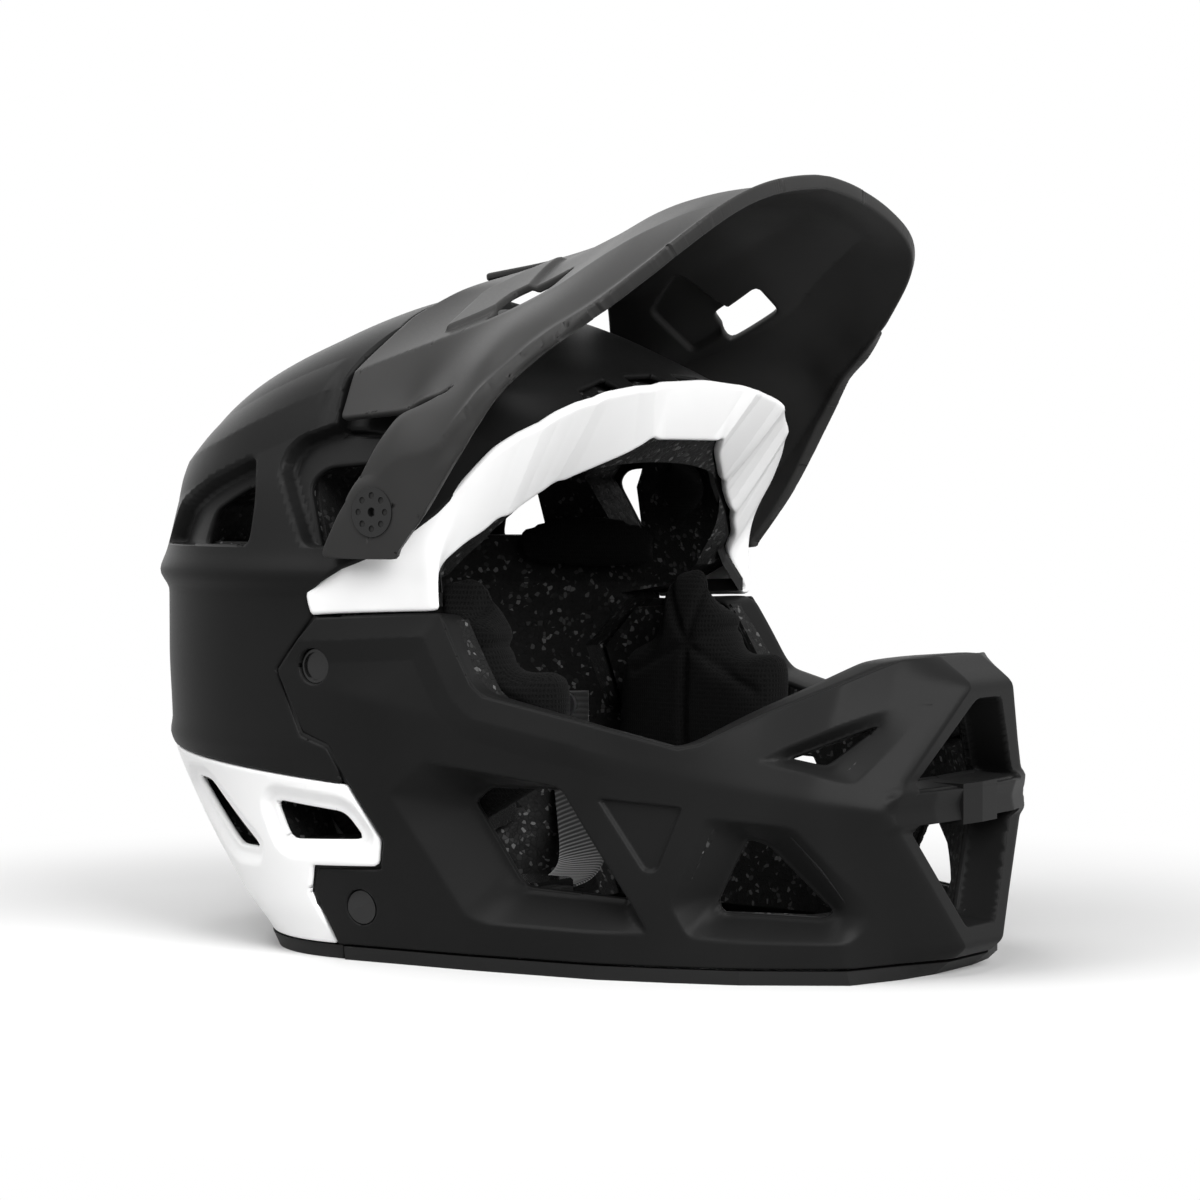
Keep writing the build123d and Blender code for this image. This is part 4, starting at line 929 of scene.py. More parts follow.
def resample(line: Array, count: int) -> Array:
    """Points evenly spaced by length along a line of straight runs."""
    run = lengths(line)
    return interp_rows(np.linspace(0, run[-1], count), run, line)


@dataclass
class HeadForm:
    """Rounded shape of the head shell, from plan sections carried smoothly up its height."""

    columns: int = 400
    pitch: float = 2.0 * MM

    def grid(self, low: float, high: float = HEAD_SHARES[-1][0]) -> Array:
        """Points between two heights given as shares.

        Each row is four quarter arcs, Bezier curves of the third degree whose inner corners lie at the
        section's fullness of the way to the corner of its box.
        """
        table = np.array(HEAD_SHARES)
        table[:, :5] *= HALF_HEAD
        step = np.hypot(np.diff(table[:, 0]), np.abs(np.diff(table[:, 1:4], axis=0)).mean(1))
        along = np.concatenate([[0], np.cumsum(step)])
        begin, end = np.interp([low * HALF_HEAD, high * HALF_HEAD], table[:, 0], along)
        spots = np.linspace(begin, end, int((end - begin) / self.pitch))
        level, front, rear, half, middle, fore, aft = smooth_rows(along, table, spots).T[:, :, None]
        t = np.linspace(0, 1, self.columns // 4, endpoint=False)[None, :]
        arcs = []
        for side, edge, full, s in (
            (1, front, fore, t), (1, rear, aft, 1 - t), (-1, rear, aft, t), (-1, front, fore, 1 - t),
        ):
            wide = side * half
            w1, w2, w3 = 3 * s * (1 - s) ** 2, 3 * s * s * (1 - s), s ** 3
            x = w1 * full * wide + w2 * wide + w3 * wide
            y = ((1 - s) ** 3 + w1) * edge + w2 * (middle + full * (edge - middle)) + w3 * middle
            arcs.append(np.stack([x, y, np.broadcast_to(level, x.shape)], 2))
        return np.concatenate(arcs, axis=1)


@dataclass
class CrownShell:
    """Black upper shell: recessed under the visor, with side vents, louvres and bosses for the visor."""

    wall: float = SHELL_WALL
    lip: float = 1.1 * MM
    lowest: float = 0.62
    step_slope: float = 2.0 * MM
    fold: float = 1.8 * MM
    fold_width: float = 13.0 * MM
    fold_starts: float = 3.0 * MM
    fold_ends: float = 25.0 * MM
    fold_inner: float = 35.0 * MM
    fold_inner_fade: float = 12.0 * MM
    vent_depth: float = 7.0 * MM
    vent_slope: float = 2.4 * MM
    recess_rounding: float = 5.0 * MM
    vent_rounding: float = 4.0 * MM
    louvre_rounding: float = 2.0 * MM
    top_vent_foot: float = 2.0 * HALF_HEAD
    boss_radius: float = 8.5 * MM
    boss_bore: float = 6.1 * MM
    boss_face: float = 117.7 * MM
    boss_foot: float = 110.5 * MM
    boss_edge: float = 0.5 * MM
    boss_gap: float = 0.1 * MM
    boss_points: int = 48
    form: HeadForm = field(default_factory=HeadForm)

    def outline(self) -> Array:
        """Side view of the shell: brow line, seam and white line."""
        brow = [(y, z) for (_, y, z), _ in reversed(BAND_SHARES)]
        (y, z), gap, top, front = SEAM_SHARES[0], SEAM_GAP / HALF_HEAD, 3.0, -0.70
        near, far = WHITE_LINE_SHARES
        edge = [(far[0], top), (front, top), (front, BAND_SHARES[-1][0][2])]
        return sizes([*brow, (y + gap, z), *SEAM_SHARES[1:5], near, far, *edge])

    def fold_share(self, points: Array, ridge: Array) -> Array:
        """Share of the fold's height at each point: full between its ends and away from the middle."""
        y = points[:, 1]
        return (ease((y - ridge[0, 0]) / self.fold_starts) * ease((ridge[-1, 0] - y) / self.fold_ends)
                * ease((np.abs(points[:, 0]) - self.fold_inner) / self.fold_inner_fade))

    def body(self) -> Body:
        """Shape of the shell, in one piece."""
        sheet = Sheet(self.form.grid(self.lowest), closed=True)
        sheet.keep(side_field(self.outline()), SEAM_GAP)
        sheet.terrace(side_field(sizes(STEP_SHARES)), VISOR_RECESS, self.step_slope)
        ridge = sizes(CROWN_CREASE_SHARES)
        sheet.crease(lambda p: p[:, 2] - np.interp(p[:, 1], *ridge.T), self.fold, self.fold_width,
                     lambda p: self.fold_share(p, ridge))
        for recess, opening in VENT_SHARES:
            sheet.terrace(side_field(rounded(sizes(recess), self.recess_rounding)), self.vent_depth, self.vent_slope)
            sheet.keep(less(side_field(rounded(sizes(opening), self.vent_rounding))), self.lip)
        for outline in LOUVRE_SHARES:
            for side in (1, -1):
                hole = rounded(sizes(outline) * [side, 1], self.louvre_rounding)
                sheet.keep(less(front_field(hole)), self.lip)
        for side in (1, -1):
            hole = rounded(sizes(TOP_VENT_SHARES) * [side, 1], self.vent_rounding)
            sheet.keep(lambda p: np.where(p[:, 2] > self.top_vent_foot, -outline_distance(p[:, :2], hole), 1.0),
                       self.lip)
        bosses = self.boss()
        return sheet.shell(self.wall, self.lip) + (bosses + bosses.reflected())

    def boss(self) -> Body:
        """Round seat of the left insert: circles carried along X with a rounded end."""
        turn = np.linspace(0, math.tau, self.boss_points, endpoint=False)
        face = self.boss_face - self.boss_gap
        stations = [
            (self.boss_foot, self.boss_radius), (face - self.boss_edge, self.boss_radius),
            (face, self.boss_radius - self.boss_edge), (face, self.boss_bore), (self.boss_foot, self.boss_bore),
        ]
        return tube(np.stack([
            np.stack([np.full_like(turn, x), AXIS_Y + r * np.cos(turn), AXIS_Z + r * np.sin(turn)], 1)
            for x, r in stations]), caps=False)


@dataclass
class RearShell:
    """White lower shell with two windows on each side, in shallow recesses."""

    wall: float = SHELL_WALL
    lip: float = 1.1 * MM
    recess: float = 2.4 * MM
    recess_margin: float = 7.0 * MM
    recess_slope: float = 5.0 * MM
    rounding: float = 4.0 * MM
    heights: tuple[float, float] = (0.03, 0.80)
    below: float = -0.5
    form: HeadForm = field(default_factory=HeadForm)

    def body(self) -> Body:
        """Shape of the shell."""
        sheet = Sheet(self.form.grid(*self.heights), closed=True)
        corners = [(line[-1][0], self.below) for line in (SEAM_SHARES, WHITE_LINE_SHARES)]
        sheet.keep(side_field(sizes([*WHITE_LINE_SHARES[::-1], *SEAM_SHARES[4:], *corners])), SEAM_GAP)
        sheet.keep(lambda p: p[:, 2] - TRIM_TOP, self.lip)
        for outline in WHITE_VENT_SHARES:
            hole = side_field(rounded(sizes(outline), self.rounding))
            sheet.terrace(lambda p: hole(p) + self.recess_margin, self.recess, self.recess_slope, steps=4)
            sheet.keep(less(hole), self.lip)
        return sheet.shell(self.wall, self.lip)


@dataclass
class BrowBand:
    """White band over the eyeport, bent along its edges and rounded all round."""

    wall: float = BAND_WALL
    lip: float = 1.3 * MM
    bulge: float = 0.3 * MM
    fold: float = 1.1 * MM
    fold_width: float = 7.0 * MM
    fold_foot: float = 1.60 * HALF_HEAD
    fold_fade: float = 6.0 * MM
    notch: float = 1.5 * MM
    notch_width: float = 3.2 * MM
    softness: float = 3.0
    columns: int = 420
    rows: int = 26

    def body(self) -> Body:
        """Shape of the band: straight across between two edges that are softened along their length."""
        upper, lower = (sizes(side) for side in zip(*BAND_SHARES))
        low, high = (
            blur(resample(np.vstack([half * [-1, 1, 1], half[-2::-1]]), self.columns), self.softness)
            for half in (lower, upper))
        for spot in BROW_NOTCH_SHARES:
            low[:, 2] += self.notch * np.exp(-(((np.abs(low[:, 0]) - spot * HALF_HEAD) / self.notch_width) ** 2))
        across = np.linspace(0, 1, self.rows)[:, None, None]
        grid = low * (1 - across) + high * across
        sheet = Sheet(grid)
        crown = np.broadcast_to(4 * across * (1 - across), (*grid.shape[:2], 1)).reshape(-1, 1)
        sheet.move += self.bulge * crown * sheet.normals
        for (x0, z0), (x1, z1) in np.array(BROW_CREASE_SHARES) * HALF_HEAD:
            run = math.hypot(x1 - x0, z1 - z0)
            sheet.crease(lambda p: ((np.abs(p[:, 0]) - x0) * (z1 - z0) - (p[:, 2] - z0) * (x1 - x0)) / run,
                         self.fold, self.fold_width, lambda p: ease((p[:, 2] - self.fold_foot) / self.fold_fade))
        return sheet.shell(self.wall, self.lip)


@dataclass
class ChinBar:
    """Black chin bar: side windows, front grille with its cross bar, and the deck inside its rim."""

    wall: float = SHELL_WALL
    lip: float = 1.2 * MM
    edge_lip: float = 0.8 * MM
    pitch: float = 1.35 * MM
    corner: float = 3.0
    crispness: float = 0.9
    crisp_half: float = 0.62 * HALF_HEAD
    crisp_fade: float = 0.10 * HALF_HEAD
    width_share: float = 1.15
    reach_share: float = 1.90
    centre_share: float = 0.20
    bend: float = 0.8 * MM
    panel_reach: float = 40.0 * MM
    recess_rounding: float = 3.5 * MM
    window_rounding: float = 2.5 * MM
    blind_depth: float = 1.6 * MM
    fold: float = 1.3 * MM
    fold_width: float = 8.0 * MM
    fold_drop: float = 9.0 * MM
    fold_front: float = -0.85 * HALF_HEAD
    fold_fade: float = 30.0 * MM
    grille_depth: float = 15.0 * MM
    grille_slope: float = 1.6 * MM
    grille_rounding: float = 3.0 * MM
    bar_half: float = 0.5 * HALF_HEAD
    bar_rear: float = -1.2 * HALF_HEAD
    bar_fade: float = 4.0 * MM
    deck_end: float = 0.40 * HALF_HEAD
    deck_softness: float = 2.0
    plug_radius: float = 6.2 * MM

    def levels(self) -> list[Array]:
        """Outer lines on the five cutting planes, from the wearer's right rear end round the front."""
        lines = []
        for index, (level, rise) in enumerate(CHIN_LEVEL_SHARES):
            plan = []
            for bottom, ridge, top in CHIN_SHARES:
                low, high = (bottom, ridge) if index < 3 else (ridge, top)
                step = [b - a for a, b in zip(low, high)]
                along = 1.0 if index == 2 else (level + rise * low[1] - low[2]) / (step[2] - rise * step[1])
                plan.append((low[0] + along * step[0], low[1] + along * step[1]))
            plan.append(FRONT_SHARES[index])
            half = sizes([(x, y, level + rise * y) for x, y in plan])
            lines.append(np.vstack([half * [-1, 1, 1], half[::-1]]))
        return lines

    def grid(self) -> Array:
        """Outer face: the five lines joined by straight runs, with both ways softened a little."""
        lines = self.levels()
        knots = lengths(lines[2])
        spots = np.linspace(0, knots[-1], int(knots[-1] / self.pitch))
        fine = np.stack([interp_rows(spots, knots, line) for line in lines])
        soft, crisp = blur(fine, self.corner, 1), blur(fine, self.crispness, 1)
        front = ease((self.crisp_half - np.abs(fine[:, :, :1])) / self.crisp_fade)
        fine = soft * (1 - front) + crisp * front
        heights = fine[:, :, 2].mean(1)
        places = np.linspace(heights[0], heights[-1], int((heights[-1] - heights[0]) / self.pitch))
        index = np.clip(np.searchsorted(heights, places, side="right") - 1, 0, 3)
        share = ((places - heights[index]) / (heights[index + 1] - heights[index]))[:, None, None]
        return blur(fine[index] * (1 - share) + fine[index + 1] * share, self.crispness)

    def place(self, window: str, points: Array) -> tuple[Array, Array]:
        """Places in a window's plane, and heights over it, of points with x folded to the left."""
        origin, along, normal = (np.array(value, float) for value in WINDOW_SHARES[window][:3])
        near = np.column_stack([np.abs(points[:, 0]), points[:, 1:]]) - origin * HALF_HEAD
        return np.stack([near @ along, near @ np.cross(normal, along)], 1), near @ normal

    def panel(self, window: str, outline: list, radius: float) -> Field:
        """Distance inside an outline drawn in a window's plane.

        Args:
            window: Name of the window.
            outline: Corners in shares.
            radius: Rounding of the corners.

        Returns:
            A field, far below zero away from the plane.
        """
        line = rounded(sizes(outline), radius)

        def distance(points: Array) -> Array:
            """Distance inside the outline."""
            flat, height = self.place(window, points)
            return np.where(np.abs(height) < self.panel_reach, outline_distance(flat, line), -1.0)

        return distance

    def cut_window(self, sheet: Sheet, window: str) -> None:
        """Sink a window as a funnel whose depth grows steadily from its recess to its opening, and open it."""
        *_, normal, outer, inner, depth = WINDOW_SHARES[window]
        recess = self.panel(window, outer, self.recess_rounding)
        opening = self.panel(window, inner, self.window_rounding)
        for level in (-self.bend, 0.0, self.bend):
            sheet.split(lambda p: recess(p) - level)
        inside, outside = recess(sheet.base), -opening(sheet.base)
        soft = np.where(inside > self.bend, inside, np.maximum(inside + self.bend, 0) ** 2 / (4 * self.bend))
        share = np.where(inside > -self.bend, soft / np.maximum(soft + np.maximum(outside, 0), 1e-6), 0)
        sink = share * (self.place(window, sheet.base)[1] + depth * HALF_HEAD)
        way = np.sign(sheet.base[:, :1]) * [[1, 0, 0]] * normal[0] + [[0, normal[1], normal[2]]]
        sheet.move -= sink[:, None] * way
        sheet.keep(less(opening))

    def under_rim(self) -> Field:
        """Distance under the line of the rim, in side view."""
        rim = sizes(RIM_SHARES)
        return side_field(np.vstack([
            [(BEHIND, rim[0, 1])], rim, [(AHEAD, rim[-1, 1]), (AHEAD, BELOW), (BEHIND, BELOW)]]))

    def sheet(self) -> Sheet:
        """Outer face with its rim, seam, windows and grille."""
        sheet = Sheet(self.grid())
        under_rim = self.under_rim()
        sheet.keep(under_rim, self.lip)
        seam = sizes(SEAM_SHARES)
        ahead = np.vstack([[(seam[0, 0], ABOVE)], seam, [(seam[-1, 0], BELOW), (AHEAD, BELOW), (AHEAD, ABOVE)]])
        sheet.keep(side_field(ahead), SEAM_GAP + self.lip * 0.5)
        sheet.keep(lambda p: p[:, 2] - TRIM_TOP, self.lip)
        for y, z in sizes(PLUG_SHARES):
            sheet.keep(lambda p: np.hypot(p[:, 1] - y, p[:, 2] - z) - self.plug_radius, self.lip)
        for window in WINDOW_SHARES:
            self.cut_window(sheet, window)
        sheet.terrace(self.panel("rear", BLIND_SHARES, self.window_rounding), self.blind_depth, self.blind_depth)
        sheet.crease(lambda p: under_rim(p) - self.fold_drop, self.fold, self.fold_width,
                     lambda p: ease((p[:, 1] - self.fold_front) / self.fold_fade))
        for half in (sizes(GRILLE_UPPER_SHARES), sizes(GRILLE_LOWER_SHARES)):
            mouth = front_field(rounded(np.vstack([half, half[::-1] * [-1, 1]]), self.grille_rounding))
            sheet.terrace(mouth, self.grille_depth, self.grille_slope, (0, 1, 0), steps=4)
            sheet.keep(less(mouth), -self.grille_slope)
        self.bow_cross_bar(sheet)
        return sheet

    def bow_cross_bar(self, sheet: Sheet) -> None:
        """Bring the bar between the grille's two mouths forward to its own line, fading out above and below."""
        x, y, z = np.abs(sheet.base[:, 0]), sheet.base[:, 1], sheet.base[:, 2]
        reach = np.interp(x, *sizes(CROSS_BAR_SHARES).T) - FRONT_SHARES[2][1] * HALF_HEAD
        low, high, fade = GRILLE_LOWER_SHARES[0][1] * HALF_HEAD, GRILLE_UPPER_SHARES[1][1] * HALF_HEAD, self.bar_fade
        level = ease((z - low + fade) / fade) * ease((high + fade - z) / fade)
        bar = (x < self.bar_half) & (y < self.bar_rear)
        sheet.move[:, 1] += np.where(bar, np.minimum(reach, 0) * level, 0)

    def inset(self, points: Array, depth: float) -> Array:
        """Points drawn in by a depth, as the bar's inner forms are."""
        narrow = 1 - depth / (self.width_share * HALF_HEAD)
        short = 1 - depth / (self.reach_share * HALF_HEAD)
        middle = self.centre_share * HALF_HEAD
        return np.stack([points[:, 0] * narrow, middle + (points[:, 1] - middle) * short, points[:, 2]], 1)

    def deck(self) -> Body:
        """Top of the bar inside its rim: a rounded strip from the rim inwards, along the rim's line.

        The rim's line is where the height over it changes sign up each column of the outer face.
        """
        grid = self.grid()
        value = self.under_rim()(grid.reshape(-1, 3)).reshape(grid.shape[:2])
        top = np.argmax(value < 0, axis=0)
        column = np.nonzero((top > 0) & (grid[0, :, 1] < self.deck_end))[0]
        above, below = (top[column], column), (top[column] - 1, column)
        share = (value[below] / (value[below] - value[above]))[:, None]
        line = blur(grid[below] * (1 - share) + grid[above] * share, self.deck_softness)
        rings = [self.inset(line, depth * MM) - [0, 0, drop * MM] for depth, drop in DECK_PROFILE]
        return tube(np.stack(rings, 1)[:, ::-1])

    def body(self) -> Body:
        """Shape of the bar with its deck."""
        return self.sheet().shell(self.wall, self.edge_lip) + self.deck()


def thin_plate(knots: Array, values: Array, places: Array, slack: float = 1e-8) -> Array:
    """Least bent surface through values at knots: a plane plus weights times r squared times log r.

    Args:
        knots: Places of the values, in two columns.
        values: One value for each knot.
        places: Where the surface is worked out.
        slack: How far it may miss its values, for steadiness.

    Returns:
        One value for each place.
    """
    def kernel(a: Array, b: Array) -> Array:
        """r squared times log r between every two places."""
        gap = ((a[:, None, :] - b[None, :, :]) ** 2).sum(2)
        return 0.5 * gap * np.log(np.maximum(gap, 1e-16))

    count = len(knots)
    plane = np.column_stack([np.ones(count), knots])
    system = np.block([[kernel(knots, knots) + slack * np.eye(count), plane], [plane.T, np.zeros((3, 3))]])
    weights = np.linalg.solve(system, np.concatenate([values, np.zeros(3)]))
    return kernel(places, knots) @ weights[:count] + np.column_stack([np.ones(len(places)), places]) @ weights[count:]


@dataclass
class Visor:
    """Black visor in one piece: side blades with a folded front edge, a bent roof, slots and a rear tab.

    It is drawn in turn and distance about a line along Y at the height of its screws' foot: the turn is 0
    at the wearer's left and half a turn at the right, and the distance is that of the facet that holds it.
    """

    wall: float = 3.0 * MM
    lip: float = 1.0 * MM
    rim: float = 2.6 * MM
    rim_reach: float = 7.0 * MM
    rim_length: float = 12.0 * MM
    rim_fade: float = 4.0 * MM
    centre: float = 1.50 * HALF_HEAD
    scale: float = 1.20 * HALF_HEAD
    columns: int = 290
    pitch: float = 1.45 * MM
    y_range: tuple[float, float] = (-1.06, 0.50)
    turn_margin: float = 0.01
    foot_margin: float = 3.0 * MM
    middle_margin: float = 0.4
    rounding: float = 2.0 * MM
    rounding_points: int = 3
    seat_radius: float = 9.05 * MM
    seat_margin: float = 3.5 * MM
    seat_fade: float = 2.5 * MM
    seat_reach: float = 121.7 * MM
    shank_radius: float = 3.1 * MM
    arm_top: float = 1.9 * HALF_HEAD
    roof_foot: float = 2.1 * HALF_HEAD
    scoop_depth: float = 2.0 * MM
    scoop_slope: float = 2.4 * MM
    scoop_rounding: float = 4.0 * MM
    slot_rounding: float = 3.0 * MM
    roof_front: float = -0.90
    roof_rear: float = 0.45
    roof_points: int = 16
    fold_corners: int = 11
    fold_points: int = 24
    widest: float = 123.4 * MM
    highest: float = 139.6 * MM
    edge_points: int = 110
    edge_softness: float = 3.5
    crease_softness: float = 0.5 * MM
    front_softness: float = 3.0 * MM
    forward_start: float = -0.6 * HALF_HEAD
    forward_length: float = 0.35 * HALF_HEAD
    facet_least: float = 5.0 * MM
    ahead_most: float = 1.2
    least_share: float = 0.05
    far: float = 9.0 * HALF_HEAD

    def turned(self, points: Array) -> Array:
        """Turn about the line, as a length, and y, of points with x folded to the left."""
        turn = np.arctan2(points[:, 2] - self.centre, np.abs(points[:, 0]))
        return np.stack([turn * self.scale, points[:, 1]], 1)

    def reach(self, points: Array) -> Array:
        """Distance of points from the line."""
        return np.hypot(points[:, 0], points[:, 2] - self.centre)

    def at(self, table: list, turn: Array) -> tuple[Array, Array]:
        """y and distance of a line of shares at turns given as lengths."""
        points = sizes(table)
        knots = self.turned(points)[:, 0]
        return np.interp(turn, knots, points[:, 1]), np.interp(turn, knots, self.reach(points))

    def forward(self, y: Array) -> Array:
        """Share of the softness that creases have at the front edge, from nothing to all of it."""
        return ease((self.forward_start - y) / self.forward_length)

    def sections(self, y: Array) -> Array:
        """Corners of the roof's section at each y, from the side in, as x and height over the line."""
        table = np.array([[place, *np.ravel(points)] for place, points in reversed(ROOF_SHARES)]) * HALF_HEAD
        rows = smooth_rows(table[:, 0], table[:, 1:], np.clip(y, table[0, 0], table[-1, 0]))
        return rows.reshape(-1, 3, 2) - [0, self.centre]

    def roof_reach(self, turn: Array, y: Array) -> Array:
        """Distance of the roof: at each y, where the ray at that turn meets the section's straight runs.

        The least of the runs is taken softly, as minus the log of the sum of their exponentials.
        """
        corners = self.sections(y)
        corners = np.concatenate([corners, corners[:, -1:] * [0, 1]], axis=1)
        ray = np.stack([np.cos(turn), np.sin(turn)], 1)
        soft = self.crease_softness + self.front_softness * self.forward(y)
        reach = np.full(len(turn), self.far)
        for index in range(3):
            a, step = corners[:, index], corners[:, index + 1] - corners[:, index]
            below = ray[:, 0] * step[:, 1] - ray[:, 1] * step[:, 0]
            hit = (a[:, 0] * step[:, 1] - a[:, 1] * step[:, 0]) / np.where(np.abs(below) < 1e-9, 1e-9, below)
            reach = -soft * np.logaddexp(-reach / soft, -np.where(hit > 0, hit, self.far) / soft)
        return reach

    def crease(self, y: Array) -> Array:
        """Turn, as a length, of the crease between the side and the roof at each y."""
        corner = self.sections(y)[:, 0]
        return np.arctan2(corner[:, 1], corner[:, 0]) * self.scale

    def flat_grid(self) -> Array:
        """Plain drum of points to draw on: turn as a length, y, and nothing."""
        turns = np.linspace(-self.turn_margin, math.pi + self.turn_margin, self.columns) * self.scale
        places = np.arange(*self.y_range, self.pitch / HALF_HEAD) * HALF_HEAD
        return np.stack([*np.meshgrid(turns, places), np.zeros((len(places), len(turns)))], 2)

    def surface(self, flat: Array) -> Array:
        """Places in space of points of the drum.

        The side is a thin plate through its points, plus the way from the fold's distance to the edge's in
        the ratio of the way ahead of the fold. The lower of side and roof counts, softly near the front.
        """
        turn, y = flat[:, 0] / self.scale, flat[:, 1]
        left = turn <= math.pi / 2
        fold = np.where(left, turn, math.pi - turn)
        spot = np.stack([fold * self.scale, y], 1)
        edge_y, edge_reach = self.at(FRONT_EDGE_SHARES, spot[:, 0])
        fold_y, fold_reach = self.at(FOLD_SHARES, spot[:, 0])
        fold_y = np.maximum(fold_y, edge_y)
        ys = np.linspace(self.roof_rear, self.roof_front, self.roof_points) * HALF_HEAD
        crease = self.crease(ys)
        folds = resample(sizes(FOLD_SHARES[:self.fold_corners]), self.fold_points)
        sides = sizes(SIDE_POINT_SHARES)
        knots = np.vstack([self.turned(folds), np.stack([crease, ys], 1), self.turned(sides)])
        values = np.concatenate([self.reach(folds), self.roof_reach(crease / self.scale, ys), self.reach(sides)])
        ahead = np.clip((fold_y - y) / np.maximum(fold_y - edge_y, self.facet_least), 0, self.ahead_most)
        side = thin_plate(knots, values, spot) + (edge_reach - fold_reach) * ahead
        roof = self.roof_reach(fold, y)
        reach = np.where(spot[:, 0] > self.crease(y), roof, np.minimum(roof, side))
        soft = self.crease_softness + self.front_softness
        reach += self.forward(y) * (-soft * np.logaddexp(-roof / soft, -side / soft) - reach)
        for limit, share in ((self.widest, np.cos(fold)), (self.highest, np.sin(fold))):
            reach = np.minimum(reach, limit / np.maximum(share, self.least_share))
        x = reach * np.cos(fold) * np.where(left, 1, -1)
        return np.stack([x, y, self.centre + reach * np.sin(fold)], 1)

    def folded(self, flat: Array) -> Array:
        """Points of the drum folded to the left, as turn and y."""
        half = math.pi / 2 * self.scale
        return np.stack([half - np.abs(flat[:, 0] - half), flat[:, 1]], 1)

    def outline(self) -> Array:
        """Outline of the left half on the drum, from the arm's foot up the front and back along the rear."""
        front = self.turned(blur(resample(sizes(FRONT_EDGE_SHARES), self.edge_points), self.edge_softness))
        rear = self.turned(sizes(REAR_EDGE_SHARES))
        past = (math.pi / 2 + self.middle_margin) * self.scale
        return rounded(np.vstack([
            [(front[0, 0] - self.foot_margin, front[0, 1])], front, [(past, front[-1, 1]), (past, rear[-1, 1])],
            rear[::-1], [(rear[0, 0] - self.foot_margin, rear[0, 1])],
        ]), self.rounding, self.rounding_points)

    def body(self) -> Body:
        """Shape of the visor."""
        sheet, line = Sheet(self.flat_grid()), self.outline()
        sheet.split(lambda p: self.folded(p)[:, 0] - self.crease(p[:, 1]))
        sheet.split(lambda p: p[:, 1] - self.at(FOLD_SHARES, self.folded(p)[:, 0])[0])
        sheet.keep(lambda p: outline_distance(self.folded(p), line), self.lip)
        sheet.base = self.seated(self.surface(sheet.base))
        sheet.normals = sheet.facing(sheet.base)
        scoop = rounded(sizes(SCOOP_SHARES), self.scoop_rounding)
        slot = rounded(sizes(SLOT_SHARES), self.slot_rounding)
        sheet.terrace(lambda p: self.roof_field(p, scoop), self.scoop_depth, self.scoop_slope)
        sheet.keep(lambda p: -self.roof_field(p, slot), self.lip)
        sheet.keep(lambda p: np.where(p[:, 2] < self.arm_top, self.from_axis(p) - self.shank_radius, 1))
        turned = self.turned(sheet.base)
        behind_edge = turned[:, 1] - self.at(FRONT_EDGE_SHARES, turned[:, 0])[0]
        at_front = ease((self.rim_length - behind_edge) / self.rim_fade)
        thick = self.wall + self.rim * at_front * (1 - ease(outline_distance(turned, line) / self.rim_reach))
        body = sheet.shell(thick, self.lip)
        wide, high = self.widest + self.lip, self.centre + self.highest + self.lip
        body.points = np.clip(body.points, [-wide, -1, 0], [wide, 1, high])
        return body

    def from_axis(self, points: Array) -> Array:
        """Distance of points from the axis of the screws."""
        return np.hypot(points[:, 1] - AXIS_Y, points[:, 2] - AXIS_Z)

    def seated(self, points: Array) -> Array:
        """Points of the arms round the screws moved along X to the flat seat of their heads."""
        hold = ease((self.seat_radius + self.seat_margin - self.from_axis(points)) / self.seat_fade)
        away = np.sign(points[:, 0]) * self.seat_reach - points[:, 0]
        moved = points[:, 0] + np.where(points[:, 2] < self.arm_top, hold, 0) * away
        return np.column_stack([moved, points[:, 1:]])

    def roof_field(self, points: Array, outline: Array) -> Array:
        """Distance inside an outline in plan, on both sides of the roof and far below zero under it."""
        plan = np.column_stack([np.abs(points[:, 0]), points[:, 1]])
        return np.where(points[:, 2] > self.roof_foot, outline_distance(plan, outline), -1)


# Liner
@dataclass(frozen=True)
class Stuffing:
    """How one pad is stuffed and sewn.

    Its channels are bearings about the head's axis in radians from the rear, and its star is a middle (y, z)
    in shares with the ends of its seams.
    """

    finish: Finish
    fill: float = 0.6
    cap: float = 2.2 * MM
    channels: tuple[float, ...] = ()
    star: tuple[tuple[float, float], ...] = ()
    groove: float = 1.5 * MM
    groove_width: float = 2.0 * MM
    rounding: int = 6


